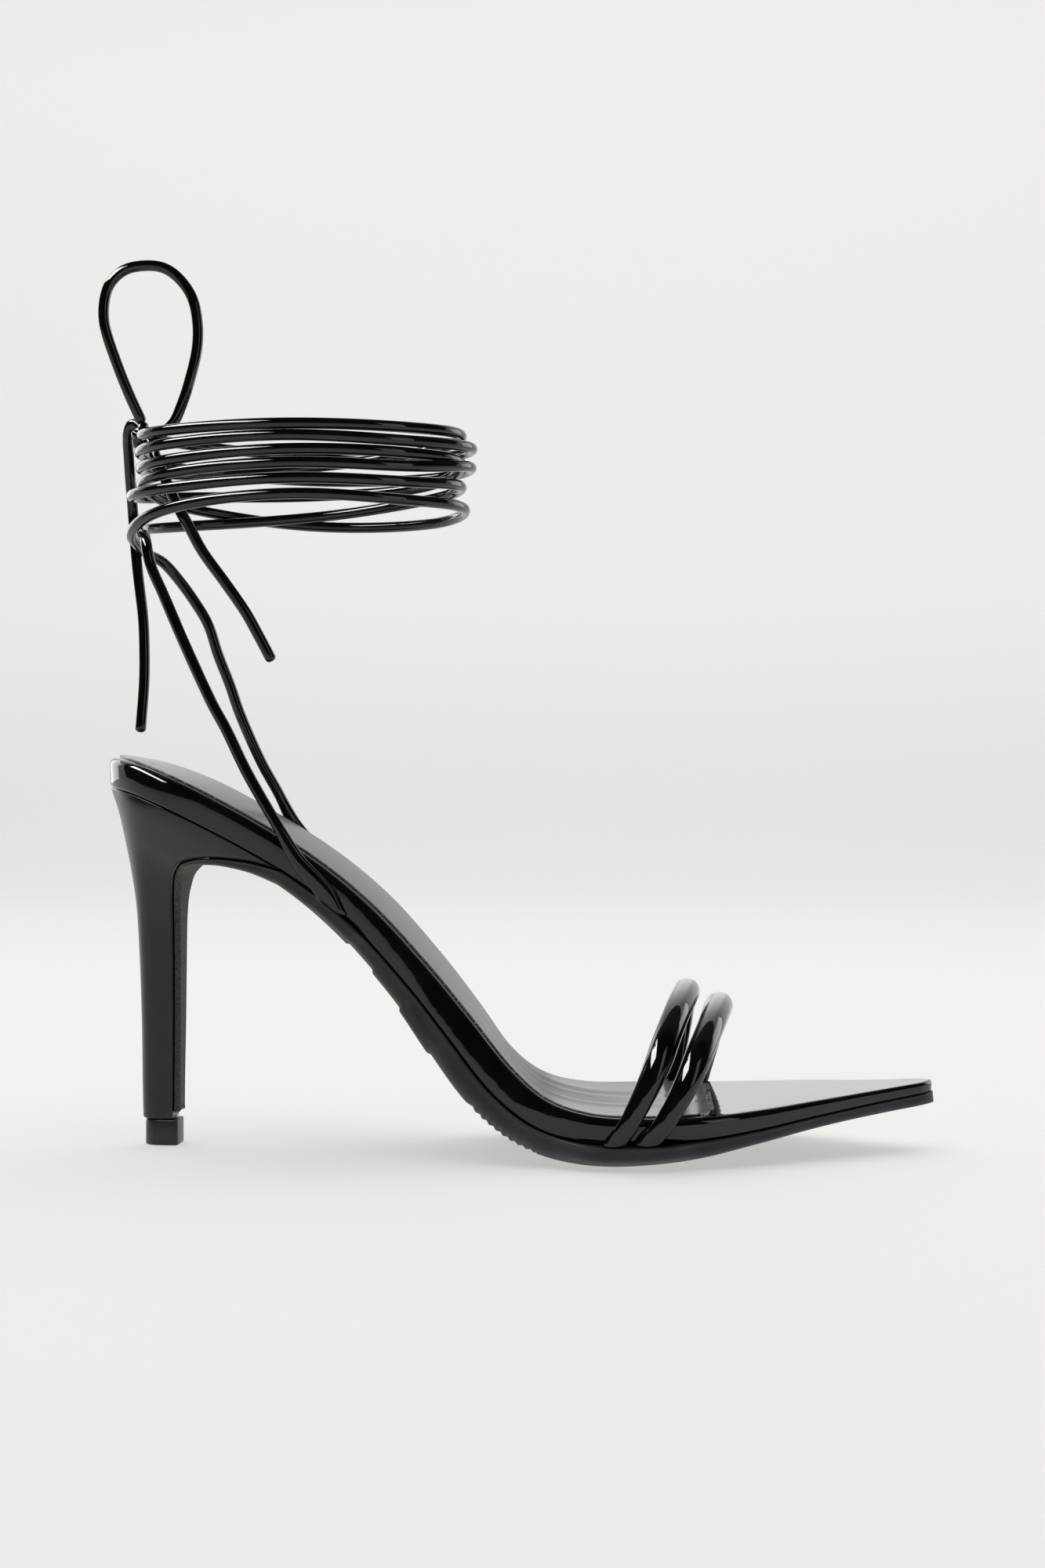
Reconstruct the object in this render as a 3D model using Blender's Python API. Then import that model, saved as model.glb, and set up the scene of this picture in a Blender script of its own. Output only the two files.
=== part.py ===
"""Lace-up heeled sandal for the right foot: footbed, rubber sole, covered heel, tube straps and ankle ties.

Metres, Z up. The toe points along +X and the outer side of the foot faces -Y.
"""
from collections import namedtuple
from math import atan, cos, hypot, pi, radians, sin, sqrt

import bmesh
import bpy
from mathutils import Vector

MM = 0.001

# Driving sizes of the shoe
LENGTH = 0.2204
BALL_WIDTH = 0.079
SEAT_HEIGHT = 0.1052
FOOTBED_THICKNESS = 0.0070
FOOTBED_EDGE = 0.0022
LOWER_BEVEL = 0.3
SOLE_THICKNESS = 0.0066
SOLE_EDGE = 0.0115
GAP = 0.0003

# Plan arcs of the footbed's two ends
HEEL_ARC = 0.026
TOE_ARC = 0.0045

# Where the footbed's back stops standing upright, and the span its slope is read over (of LENGTH)
HEEL_UPRIGHT = 0.16
SLOPE_SPAN = 0.004

# Tread details under the sole: nine ribs behind the ball, a recess and a plain raised pad in the arch.
# RIB_START, RECESS and PAD are shares of LENGTH.
RIB_COUNT = 9
RIB_PITCH = 0.00125
RIB_DEPTH = 0.0005
RIB_START = 0.490
RECESS = (0.341, 0.373)
PAD = (0.409, 0.446)
STEP_DEPTH = 0.0006
STEP_RUN = 0.0003

# Extra width of the sole under the toe straps' roots
LEDGE = 0.0030

# Heel and top lift
HEEL_WIDTH = 0.0092
LIFT_HEIGHT = 0.0069
LIFT_LENGTH = 0.0095
LIFT_SETBACK = 0.0004
HEEL_INSET = 0.0012
FLAP_THICKNESS = 0.0015

# Toe straps
STRAP_DIAMETER = 0.0070
STRAP_ROOT_WIDTH = 0.0050
STRAP_ROOT_DEPTH = 0.0027
STRAP_RISE = 0.0418

# Ankle ties
TIE_DIAMETER = 0.0030
TIE_ROOT_WIDTH = 0.0056
TIE_ROOT_DEPTH = 0.0018
TIE_ROOT_RUN = 0.026
TIE_ROOT_CUT = 0.55
TIE_FUSE = 0.0004
WRAP_LENGTH = 0.0866
WRAP_WIDTH = 0.0570
WRAP_HEIGHT = 0.1723
WRAP_CENTRE = 0.2343
TURN_PITCH = 0.0077
KNOT_SIZE = 0.0070

# One row for each section of the last, from the heel's back to the toe. Columns: along (of LENGTH),
# height of the footbed's top (of SEAT_HEIGHT), outer and inner half widths (of BALL_WIDTH), slant of
# the section line, crown and thickness (of FOOTBED_THICKNESS) and sole (of SOLE_THICKNESS).
Section = namedtuple("Section", "along height outer inner slant crown footbed sole")
LAST = (
    Section(0.000, 1.000, 0.335, 0.330, 0.00, 0.02, 1.18, 0.60),
    Section(0.060, 0.970, 0.338, 0.332, 0.00, 0.02, 1.14, 0.60),
    Section(0.138, 0.898, 0.338, 0.325, 0.00, 0.06, 1.08, 0.60),
    Section(0.250, 0.762, 0.326, 0.290, 0.00, 0.10, 1.00, 0.62),
    Section(0.330, 0.632, 0.328, 0.250, 0.00, 0.12, 0.96, 0.75),
    Section(0.400, 0.475, 0.350, 0.236, 0.02, 0.10, 1.00, 0.83),
    Section(0.450, 0.345, 0.388, 0.258, 0.05, 0.04, 1.08, 0.98),
    Section(0.490, 0.235, 0.424, 0.300, 0.08, -0.02, 1.12, 1.01),
    Section(0.530, 0.165, 0.462, 0.362, 0.08, -0.08, 1.06, 1.01),
    Section(0.580, 0.132, 0.492, 0.426, 0.07, -0.12, 1.00, 0.99),
    Section(0.640, 0.125, 0.502, 0.474, 0.05, -0.12, 0.94, 0.97),
    Section(0.720, 0.128, 0.468, 0.488, 0.03, -0.06, 0.82, 0.87),
    Section(0.790, 0.137, 0.378, 0.428, 0.01, 0.00, 0.70, 0.68),
    Section(0.860, 0.150, 0.255, 0.325, 0.00, 0.00, 0.56, 0.55),
    Section(0.930, 0.163, 0.122, 0.190, 0.00, 0.00, 0.46, 0.48),
    Section(1.000, 0.178, 0.010, 0.090, 0.00, 0.00, 0.40, 0.44),
)

# Sole's section from its upper face to its tread. Columns: inset (of SOLE_EDGE at the ball), drop (of
# the sole's own depth) and how much of the tread's relief reaches it.
SoleLevel = namedtuple("SoleLevel", "inset drop relief")
SOLE_PROFILE = (
    SoleLevel(0.14, 0.00, 0.0),
    SoleLevel(0.03, 0.00, 0.0),
    SoleLevel(0.00, 0.09, 0.0),
    SoleLevel(0.05, 0.20, 0.0),
    SoleLevel(0.08, 0.50, 0.0),
    SoleLevel(0.28, 0.78, 1.0),
    SoleLevel(1.00, 1.00, 1.0),
)

# Heel from its tip up to the seat. Columns: back and front points, along (of LENGTH) and high (of
# SEAT_HEIGHT, the first one on the top lift), half width (of HEEL_WIDTH) and share of the seat's outline.
HeelRow = namedtuple("HeelRow", "back back_high front front_high half seat")
HEEL = (
    HeelRow(0.0402, 0.070, 0.0787, 0.070, 0.46, 0.00),
    HeelRow(0.0388, 0.081, 0.0792, 0.081, 0.50, 0.00),
    HeelRow(0.0380, 0.160, 0.0795, 0.160, 0.52, 0.00),
    HeelRow(0.0370, 0.320, 0.0806, 0.320, 0.58, 0.00),
    HeelRow(0.0345, 0.480, 0.0812, 0.470, 0.66, 0.00),
    HeelRow(0.0310, 0.610, 0.0820, 0.590, 0.80, 0.00),
    HeelRow(0.0254, 0.705, 0.0850, 0.655, 1.00, 0.06),
    HeelRow(0.0206, 0.770, 0.0925, 0.698, 1.20, 0.18),
    HeelRow(0.0168, 0.822, 0.1100, 0.722, 1.45, 0.36),
    HeelRow(0.0126, 0.866, 0.1500, 0.727, 1.75, 0.60),
    HeelRow(0.0084, 0.900, 0.1980, 0.712, 2.10, 0.84),
    HeelRow(0.0055, 0.925, 0.2420, 0.684, 2.40, 1.00),
)
SEAT_FRONT = 0.242
HEEL_RING_COUNT = 20

# Points of a heel ring (of its length, from back to front), and its front corners' share of the width
HEEL_SHARES = (0.0, 0.035, 0.13, 0.28, 0.45, 0.64, 0.84, 0.96, 1.0)
HEEL_CORNER = 0.82

# Levels of the sole's rows under the heel's front, from the seat down its breast to its tip. Columns:
# first and last level (0 at the tip, 1 at the seat) and number of rows. Above FLAP_BLEND the flap
# thickens into the sole.
FlapRun = namedtuple("FlapRun", "first last count")
FLAP_RUNS = (FlapRun(0.985, 0.685, 8), FlapRun(0.660, 0.500, 6), FlapRun(0.450, 0.100, 6))
FLAP_BLEND = 0.72

# Toe straps: where each root sits on the outer and inner edge, and its crown (of LENGTH), and the
# crown's height (of STRAP_RISE)
StrapRow = namedtuple("StrapRow", "name outer inner crown rise")
STRAPS = (
    StrapRow("toe_strap_rear", 0.613, 0.684, 0.705, 1.000),
    StrapRow("toe_strap_front", 0.652, 0.718, 0.745, 0.912),
)
STRAP_SIDES = 12
STRAP_POINT_COUNT = 29

# Share of a strap's half length at which it starts to flatten towards its root, and the share it takes
FLAT_START = 0.56
FLAT_RUN = 0.38

# Half of a strap's arch, from its root to its crown. Columns: rise and lean from the root to the
# crown, and distance from the middle plane (of the root's).
ArcPoint = namedtuple("ArcPoint", "rise lean side")
STRAP_ARC = (
    ArcPoint(0.00, 0.00, 1.00),
    ArcPoint(0.20, 0.25, 1.03),
    ArcPoint(0.50, 0.54, 0.97),
    ArcPoint(0.76, 0.74, 0.80),
    ArcPoint(0.93, 0.89, 0.50),
)

# Levels of the two ties round the ankle, a row for every eighth of a turn from the heel's back.
# The outer tie starts round the inner side, the inner tie round the outer side. Columns: level
# (of TURN_PITCH above WRAP_HEIGHT) and outset from the ankle (of TIE_DIAMETER).
Eighth = namedtuple("Eighth", "level outset")
OUTER_TIE_WRAP = (
    Eighth(-0.78, 0.00), Eighth(-0.37, 0.00), Eighth(0.02, 0.00), Eighth(0.44, 0.00),
    Eighth(0.62, 0.00), Eighth(0.50, 0.00), Eighth(0.53, 0.00), Eighth(0.35, 0.40),
    Eighth(0.36, 1.00), Eighth(0.66, 0.40), Eighth(0.78, 0.00), Eighth(0.94, 0.00),
    Eighth(1.42, 0.00), Eighth(1.48, 0.00), Eighth(1.50, 0.00), Eighth(1.34, 0.00),
    Eighth(1.30, 0.00), Eighth(1.46, 0.00), Eighth(1.86, 0.00), Eighth(2.22, 0.00),
    Eighth(2.40, 0.00), Eighth(2.34, 0.00), Eighth(2.36, 0.00), Eighth(2.34, 0.00),
    Eighth(2.46, 0.00),
)
INNER_TIE_WRAP = (
    Eighth(-1.10, 1.10), Eighth(-0.35, 0.40), Eighth(0.00, 0.00), Eighth(-0.12, 0.00),
    Eighth(-0.14, 0.30), Eighth(-0.36, 1.00), Eighth(-0.30, 1.00), Eighth(0.18, 0.80),
    Eighth(0.66, 0.00), Eighth(0.88, 0.00), Eighth(1.05, 0.00), Eighth(1.02, 0.20),
    Eighth(1.30, 1.00), Eighth(1.28, 1.00), Eighth(1.36, 0.90), Eighth(1.62, 1.00),
    Eighth(1.86, 0.20), Eighth(1.88, 0.00), Eighth(1.97, 0.00), Eighth(1.86, 0.50),
    Eighth(1.96, 1.10), Eighth(2.02, 1.00), Eighth(2.26, 1.00), Eighth(2.50, 0.40),
    Eighth(2.58, 0.00),
)

# Angles that the two ties turn through, in degrees, and the step between their rings
OUTER_TURNS = 1066.0
INNER_TURNS = 1062.0
TIE_STEP = 12
TIE_SIDES = 8
RISER_POINT_COUNT = 22

# Where the outer and inner ties root beside the footbed (of LENGTH), and the routes of their risers.
# Columns: along (of LENGTH), side (of the root's own distance) and high (of SEAT_HEIGHT).
OUTER_ROOT = 0.320
INNER_ROOT = 0.264
RiserPoint = namedtuple("RiserPoint", "along side high")
OUTER_RISER = (
    RiserPoint(0.279, 1.02, 0.664), RiserPoint(0.250, 1.03, 0.736), RiserPoint(0.228, 1.00, 0.812),
    RiserPoint(0.187, 0.89, 0.952), RiserPoint(0.160, 0.82, 1.061), RiserPoint(0.142, 0.78, 1.126),
    RiserPoint(0.108, 0.69, 1.270), RiserPoint(0.078, 0.60, 1.405), RiserPoint(0.062, 0.56, 1.477),
    RiserPoint(0.055, 0.50, 1.535),
)
INNER_RISER = (
    RiserPoint(0.247, 1.05, 0.718), RiserPoint(0.228, 1.10, 0.760), RiserPoint(0.207, 1.10, 0.818),
    RiserPoint(0.187, 1.00, 0.905), RiserPoint(0.167, 0.95, 0.983), RiserPoint(0.142, 0.90, 1.104),
    RiserPoint(0.128, 0.88, 1.189), RiserPoint(0.113, 0.87, 1.270), RiserPoint(0.101, 0.86, 1.347),
    RiserPoint(0.084, 0.86, 1.407), RiserPoint(0.063, 0.84, 1.468), RiserPoint(0.046, 0.74, 1.510),
    RiserPoint(0.030, 0.50, 1.530),
)

# Routes of the free cords in the shoe's frame, chosen by hand, in millimetres from the heel's back,
# the middle plane and the floor
LOOP_ROUTE = (
    (7.4, 1.5, 196.2), (4.4, 0.5, 203.0), (1.0, 0.0, 211.7), (-2.0, -0.5, 221.2), (-2.3, -0.5, 227.4),
    (-0.8, 0.0, 233.0), (3.2, 0.5, 236.8), (8.4, 1.0, 238.0), (13.6, 1.0, 237.4), (17.9, 1.0, 234.5),
    (21.7, 0.5, 229.0), (23.3, 0.0, 221.7), (23.1, -0.5, 214.3), (20.9, -1.0, 204.9),
    (19.1, -1.0, 199.7), (16.9, -0.5, 195.2), (13.6, 0.5, 192.6), (11.0, 1.2, 191.9),
)
LONG_END_ROUTE = (
    (3.1, 4.6, 192.8), (2.5, 6.8, 191.2), (2.2, 9.4, 187.4), (2.2, 11.2, 181.4), (2.4, 12.5, 175.6),
    (2.7, 13.0, 170.0), (3.2, 13.0, 163.0), (4.2, 12.0, 155.0), (6.1, 10.0, 142.5), (6.9, 8.0, 132.2),
    (7.0, 7.0, 124.6), (6.3, 6.0, 112.4),
)
SHORT_END_ROUTE = (
    (11.2, -0.9, 188.5), (12.6, -3.0, 185.4), (14.6, -5.0, 181.6), (18.6, -6.0, 172.9),
    (22.5, -6.0, 165.8), (26.0, -6.0, 159.5), (32.2, -6.0, 151.0), (37.5, -6.0, 143.4),
    (41.1, -6.0, 137.0), (44.3, -6.0, 131.0),
)
KNOT_CENTRE = (7.3, 1.6, 192.0)

PATENT = ((0.008, 0.008, 0.010), 0.08, 0.0)
RUBBER = ((0.022, 0.022, 0.026), 0.55, 0.0)
PLASTIC = ((0.015, 0.015, 0.016), 0.35, 0.0)


def material(name, finish):
    """Return a new Principled material of this colour, roughness and metallic value."""
    colour, roughness, metallic = finish
    made = bpy.data.materials.new(name)
    made.use_nodes = True
    shader = made.node_tree.nodes["Principled BSDF"]
    shader.inputs["Base Color"].default_value = (*colour, 1.0)
    shader.inputs["Roughness"].default_value = roughness
    shader.inputs["Metallic"].default_value = metallic
    return made


def mesh_object(name, vertices, faces, finish):
    """Make a smooth-shaded object of these faces, turned outward."""
    mesh = bpy.data.meshes.new(name)
    mesh.from_pydata([tuple(v) for v in vertices], [], faces)
    mesh.validate()
    shell = bmesh.new()
    shell.from_mesh(mesh)
    bmesh.ops.recalc_face_normals(shell, faces=shell.faces)
    for face in shell.faces:
        face.smooth = True
    shell.to_mesh(mesh)
    shell.free()
    made = bpy.data.objects.new(name, mesh)
    made.data.materials.append(material(name, finish))
    bpy.context.collection.objects.link(made)
    return made


def hermite(keys, values, at):
    """Read a smooth curve through the values at their rising keys."""
    last = len(keys) - 1
    at = min(max(at, keys[0]), keys[last])
    i = max(k for k in range(last) if keys[k] <= at)
    span = keys[i + 1] - keys[i]
    share = (at - keys[i]) / span

    def slope(k):
        low = max(k - 1, 0)
        high = min(k + 1, last)
        return (values[high] - values[low]) / (keys[high] - keys[low])

    square = share * share
    cube = square * share
    return ((2 * cube - 3 * square + 1) * values[i] + (cube - 2 * square + share) * span * slope(i)
            + (3 * square - 2 * cube) * values[i + 1] + (cube - square) * span * slope(i + 1))


def last_at(along, column):
    """Read one column of the last's table."""
    return hermite([row.along for row in LAST], [getattr(row, column) for row in LAST], along)


def top_height(along):
    """Height of the footbed's top over the floor."""
    return SEAT_HEIGHT * last_at(along, "height")


def footbed_depth(along):
    """Thickness of the footbed."""
    return FOOTBED_THICKNESS * last_at(along, "footbed")


def end_round(along):
    """Share of the width that the round heel end and toe end leave."""
    share = 1.0
    for reach, distance in ((HEEL_ARC, along * LENGTH), (TOE_ARC, (1.0 - along) * LENGTH)):
        if distance < reach:
            share *= sqrt(max(0.0, 1.0 - (1.0 - distance / reach) ** 2))
    return share


def half_widths(along):
    """Return the outer and inner distances of the footbed's edge from the middle plane."""
    outer = BALL_WIDTH * last_at(along, "outer")
    inner = BALL_WIDTH * last_at(along, "inner")
    centre = (inner - outer) / 2
    half = (inner + outer) / 2 * end_round(along)
    return half - centre, half + centre


def depth_direction(along):
    """Unit vector out of the footbed's top, upright at the heel's back."""
    low = max(along - SLOPE_SPAN, 0.0)
    high = min(along + SLOPE_SPAN, 1.0)
    slope = (top_height(high) - top_height(low)) / ((high - low) * LENGTH)
    tilt = atan(slope) * min(1.0, along / HEEL_UPRIGHT)
    return Vector((-sin(tilt), 0.0, cos(tilt)))


def on_last(along, side, rise):
    """Place a point by its station, its distance from the middle plane and its rise over the top."""
    base = Vector((along * LENGTH - last_at(along, "slant") * side, side, top_height(along)))
    return base + depth_direction(along) * rise


def heel_arc_stations(count):
    """Stations round the footbed's heel end."""
    return [HEEL_ARC / LENGTH * (1 - cos(pi / 2 * (k + 0.3) / count)) for k in range(count)]


def toe_arc_stations(count):
    """Stations round the toe end."""
    return [1 - TOE_ARC / LENGTH * (1 - cos(pi / 2 * (k + 0.3) / count)) for k in reversed(range(count))]


def even_stations(start, stop, count):
    """Evenly spaced stations that stop short of the last one."""
    return [start + (stop - start) * k / count for k in range(count)]


def footbed_stations():
    """Stations of the footbed, close together round its ends and at the ball."""
    heel = heel_arc_stations(6)
    body = even_stations(HEEL_ARC / LENGTH, 0.42, 11) + even_stations(0.42, 0.58, 9)
    fore = even_stations(0.58, 1 - TOE_ARC / LENGTH, 13)
    return heel + body + fore + toe_arc_stations(3)


ACROSS = (-1.0, -0.5, 0.0, 0.5, 1.0)


def plan_loop(rows):
    """List the row and column of each border point of a plan grid, once round."""
    last = len(rows) - 1
    right = len(ACROSS) - 1
    loop = [(i, 0) for i in range(last + 1)]
    loop += [(last, j) for j in range(1, right + 1)]
    loop += [(i, right) for i in range(last - 1, -1, -1)]
    loop += [(0, j) for j in range(right - 1, 0, -1)]
    return loop


def plan_points(rows, run):
    """Plan positions of a grid: run along each row's own place, and across from edge to edge."""
    points = []
    for place, (outer, inner) in zip(run, rows):
        centre = (inner - outer) / 2
        half = (inner + outer) / 2
        points.append([(place, centre + half * share) for share in ACROSS])
    return points


def border_normals(points, loop):
    """Outward plan directions at the border points."""
    spots = [points[i][j] for i, j in loop]
    count = len(spots)
    normals = []
    for k in range(count):
        before = spots[k - 1]
        after = spots[(k + 1) % count]
        along = after[0] - before[0]
        across = after[1] - before[1]
        size = hypot(along, across)
        normals.append((across / size, -along / size))
    return normals


def slab(name, rows, run, layers, place, finish):
    """Build a closed slab from a grid of rows.

    rows: outer and inner half widths of each row. run: each row's place along the slab.
    layers: a list for each level, from the top down, of (outer inset, inner inset, rise) for each row.
    place: the function from (row position, side, rise) to a point.
    """
    grid = plan_points(rows, run)
    loop = plan_loop(rows)
    normals = border_normals(grid, loop)
    vertices = []
    rings = []
    plans = []

    def ring(layer):
        start = len(vertices)
        plan = []
        for (i, j), (ahead, aside) in zip(loop, normals):
            outer, inner, rise = layer[i]
            inset = outer + (inner - outer) * (ACROSS[j] + 1) / 2
            spot = grid[i][j]
            plan.append((spot[0] - ahead * inset, spot[1] - aside * inset))
            vertices.append(place(i, *plan[-1], rise, ACROSS[j]))
        rings.append(range(start, start + len(loop)))
        plans.append(plan)

    for layer in layers:
        ring(layer)

    def cap(end):
        layer = layers[end]
        index = dict(zip(loop, rings[end]))
        plan = dict(zip(loop, plans[end]))
        last = len(rows) - 1
        right = len(ACROSS) - 1
        for i in range(1, last):
            outer, inner = plan[(i, 0)], plan[(i, right)]
            for j in range(1, right):
                ahead, side = (a + (b - a) * j / right for a, b in zip(outer, inner))
                index[(i, j)] = len(vertices)
                vertices.append(place(i, ahead, side, layer[i][2], ACROSS[j]))
        return [(index[(i, j)], index[(i + 1, j)], index[(i + 1, j + 1)], index[(i, j + 1)])
                for i in range(last) for j in range(right)]

    faces = cap(0) + cap(-1)
    for upper, lower in zip(rings, rings[1:]):
        for k in range(len(upper)):
            after = (k + 1) % len(upper)
            faces.append((upper[k], upper[after], lower[after], lower[k]))
    return mesh_object(name, vertices, faces, finish)


def make_footbed():
    """Footbed board wrapped in patent, with a round upper edge and its toe end."""
    stations = footbed_stations()
    rows = [half_widths(s) for s in stations]
    run = [s * LENGTH for s in stations]
    depths = [footbed_depth(s) for s in stations]
    edges = [FOOTBED_EDGE * last_at(s, "footbed") for s in stations]
    crowns = [FOOTBED_THICKNESS * last_at(s, "crown") for s in stations]
    layers = []
    for angle in (0.0, 45.0, 90.0):
        turn = radians(angle)
        inset = 1 - sin(turn)
        layers.append([(edge * inset, edge * inset, -edge * (1 - cos(turn))) for edge in edges])
    bevels = [edge * LOWER_BEVEL for edge in edges]
    layers.append([(0.0, 0.0, bevel - depth) for bevel, depth in zip(bevels, depths)])
    layers.append([(bevel, bevel, -depth) for bevel, depth in zip(bevels, depths)])

    def place(i, ahead, side, rise, share):
        crown = crowns[i] * (1 - share * share) if rise == 0.0 else 0.0
        return on_last(min(max(ahead / LENGTH, 0.0), 1.0), side, rise + crown)

    return slab("footbed", rows, run, layers, place, PATENT)


def underside(along, drop=0.0):
    """Middle point of the footbed's underside, and its up direction."""
    up = depth_direction(along)
    return on_last(along, 0.0, -footbed_depth(along) - drop), up


def heel_at(level, column):
    """Read one column of the heel's table, level 0 at the tip and 1 at the seat."""
    keys = [k / (len(HEEL) - 1) for k in range(len(HEEL))]
    return hermite(keys, [getattr(row, column) for row in HEEL], level)


def seat_point(share):
    """Point on the heel's seat, share 0 at its back and 1 at its front lip."""
    start = HEEL_INSET / LENGTH
    along = start + (SEAT_FRONT - start) * share
    return underside(along, GAP)[0], along


def heel_height(high):
    """Height in the heel's table, from one gap above the top lift up to the seat."""
    tip = LIFT_HEIGHT + GAP
    lowest = HEEL[0].back_high
    return tip + (SEAT_HEIGHT - tip) * (high - lowest) / (1.0 - lowest)


def heel_ends(level):
    """Back and front points of the heel at this level."""
    back = Vector((heel_at(level, "back") * LENGTH, 0, heel_height(heel_at(level, "back_high"))))
    front = Vector((heel_at(level, "front") * LENGTH, 0, heel_height(heel_at(level, "front_high"))))
    seat_back, _ = seat_point(0.0)
    seat_front, _ = seat_point(1.0)
    top_back = Vector((HEEL[-1].back * LENGTH, 0, heel_height(HEEL[-1].back_high)))
    top_front = Vector((HEEL[-1].front * LENGTH, 0, heel_height(HEEL[-1].front_high)))
    pull = level ** 4
    return back + (seat_back - top_back) * pull, front + (seat_front - top_front) * pull


def shaft_round(share):
    """Half width of the shaft's section as a share, round at the back and square at the front."""
    if share < 0.5:
        return sqrt(1 - (1 - share / 0.5) ** 2)
    return 1.0 if share < 0.99 else HEEL_CORNER


def heel_ring(level):
    """One ring of the heel: the back point, the outer side to the front, then the inner side back."""
    back, front = heel_ends(level)
    seat = heel_at(level, "seat")
    half = HEEL_WIDTH * heel_at(level, "half")
    start, _ = seat_point(0.0)
    stop, _ = seat_point(1.0)
    sides = []
    for share in HEEL_SHARES:
        seat_spot, along = seat_point(share)
        bow = seat_spot - start.lerp(stop, share)
        spot = back.lerp(front, share) + bow * level ** 4
        outer, inner = half_widths(along)
        own = half * shaft_round(share)
        outer = own * (1 - seat) + (outer - HEEL_INSET) * seat
        inner = own * (1 - seat) + (inner - HEEL_INSET) * seat
        if share == 0.0:
            outer = inner = 0.0
        sides.append((spot, max(outer, 0.0), max(inner, 0.0)))
    ring = [spot - Vector((0, outer, 0)) for spot, outer, _ in sides]
    ring += [spot + Vector((0, inner, 0)) for spot, _, inner in reversed(sides[1:])]
    return ring


def ring_strips(start, turn):
    """Faces across a heel ring, pairing its outer and inner points."""
    size = 2 * len(HEEL_SHARES) - 1
    faces = [(start, start + 1, start + size - 1)]
    for k in range(1, len(HEEL_SHARES) - 1):
        faces.append((start + k, start + k + 1, start + size - k - 1, start + size - k))
    return [tuple(reversed(face)) for face in faces] if turn else faces


def make_heel():
    """Covered heel, a loft from the tip to the seat under the footbed."""
    size = 2 * len(HEEL_SHARES) - 1
    vertices = []
    for k in range(HEEL_RING_COUNT + 1):
        vertices += heel_ring(k / HEEL_RING_COUNT)
    faces = ring_strips(0, True) + ring_strips(HEEL_RING_COUNT * size, False)
    for k in range(HEEL_RING_COUNT):
        for j in range(size):
            after = (j + 1) % size
            low = k * size
            faces.append((low + j, low + after, low + size + after, low + size + j))
    return mesh_object("heel", vertices, faces, PATENT)


def make_top_lift():
    """Top lift that the heel stands on, with the heel tip's own section."""
    back, _ = heel_ends(0.0)
    start = back.x + LIFT_SETBACK
    half = HEEL_WIDTH * HEEL[0].half
    outline = [(start + LIFT_LENGTH * share, half * shaft_round(share)) for share in HEEL_SHARES]
    outline = [(x, -side) for x, side in outline] + [(x, side) for x, side in reversed(outline[1:])]
    vertices = [Vector((x, y, z)) for z in (0.0, LIFT_HEIGHT) for x, y in outline]
    size = len(outline)
    faces = ring_strips(0, True) + ring_strips(size, False)
    faces += [(j, (j + 1) % size, size + (j + 1) % size, size + j) for j in range(size)]
    return mesh_object("top_lift", vertices, faces, PLASTIC)


SoleRow = namedtuple("SoleRow", "point up outer inner ledges slant depth bottom")


def ledge(along, side):
    """Extra width of the sole under the strap and tie roots."""
    straps = (STRAPS[0][side] + STRAPS[1][side]) / 2
    spread = abs(STRAPS[1][side] - STRAPS[0][side]) / 2 + 0.75 * STRAP_DIAMETER / LENGTH
    extra = 0.0
    root = (OUTER_ROOT, INNER_ROOT)[side - 1]
    for middle, reach, size in ((straps, spread, LEDGE), (root, 0.018, TIE_ROOT_DEPTH + GAP)):
        away = abs(along - middle) / reach
        if away < 2.0:
            extra = max(extra, size * min(1.0, 2.0 - away) ** 2)
    return extra


def tread(along):
    """Change of the sole's depth by its ribs, its recess and its plain raised pad."""
    rib_run = RIB_COUNT * RIB_PITCH / LENGTH
    inside = (along - RIB_START) / rib_run
    if 0.0 <= inside <= 1.0:
        phase = inside * RIB_COUNT
        return -RIB_DEPTH * abs(2 * (phase - int(phase)) - 1)
    if RECESS[0] < along < RECESS[1]:
        return -STEP_DEPTH
    if PAD[0] < along < PAD[1]:
        return STEP_DEPTH
    return 0.0


def sole_stations():
    """Stations of the sole's fore part, from the toe back to the heel's lip."""
    toe = toe_arc_stations(3)
    fore = even_stations(RIB_START + RIB_COUNT * RIB_PITCH / LENGTH, 1 - TOE_ARC / LENGTH, 18)
    ribs = even_stations(RIB_START, RIB_START + RIB_COUNT * RIB_PITCH / LENGTH, 2 * RIB_COUNT)
    edge = STEP_RUN / LENGTH
    steps = [s + shift for s in (*RECESS, *PAD) for shift in (-edge, edge)]
    waist = [s for s in even_stations(SEAT_FRONT + 0.012, RIB_START, 9)
             if all(abs(s - step) > 3 * edge for step in (*RECESS, *PAD))]
    return sorted(waist + steps + ribs + fore + toe, reverse=True)


def fore_rows():
    """Rows of the sole under the footbed, from the toe back to the heel's lip."""
    rows = []
    for along in sole_stations():
        point, up = underside(along, GAP)
        outer, inner = half_widths(along)
        depth = SOLE_THICKNESS * last_at(along, "sole")
        ledges = (ledge(along, 1), ledge(along, 2))
        rows.append(SoleRow(point, up, outer, inner, ledges, last_at(along, "slant"), depth,
                            depth + tread(along)))
    return rows


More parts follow.
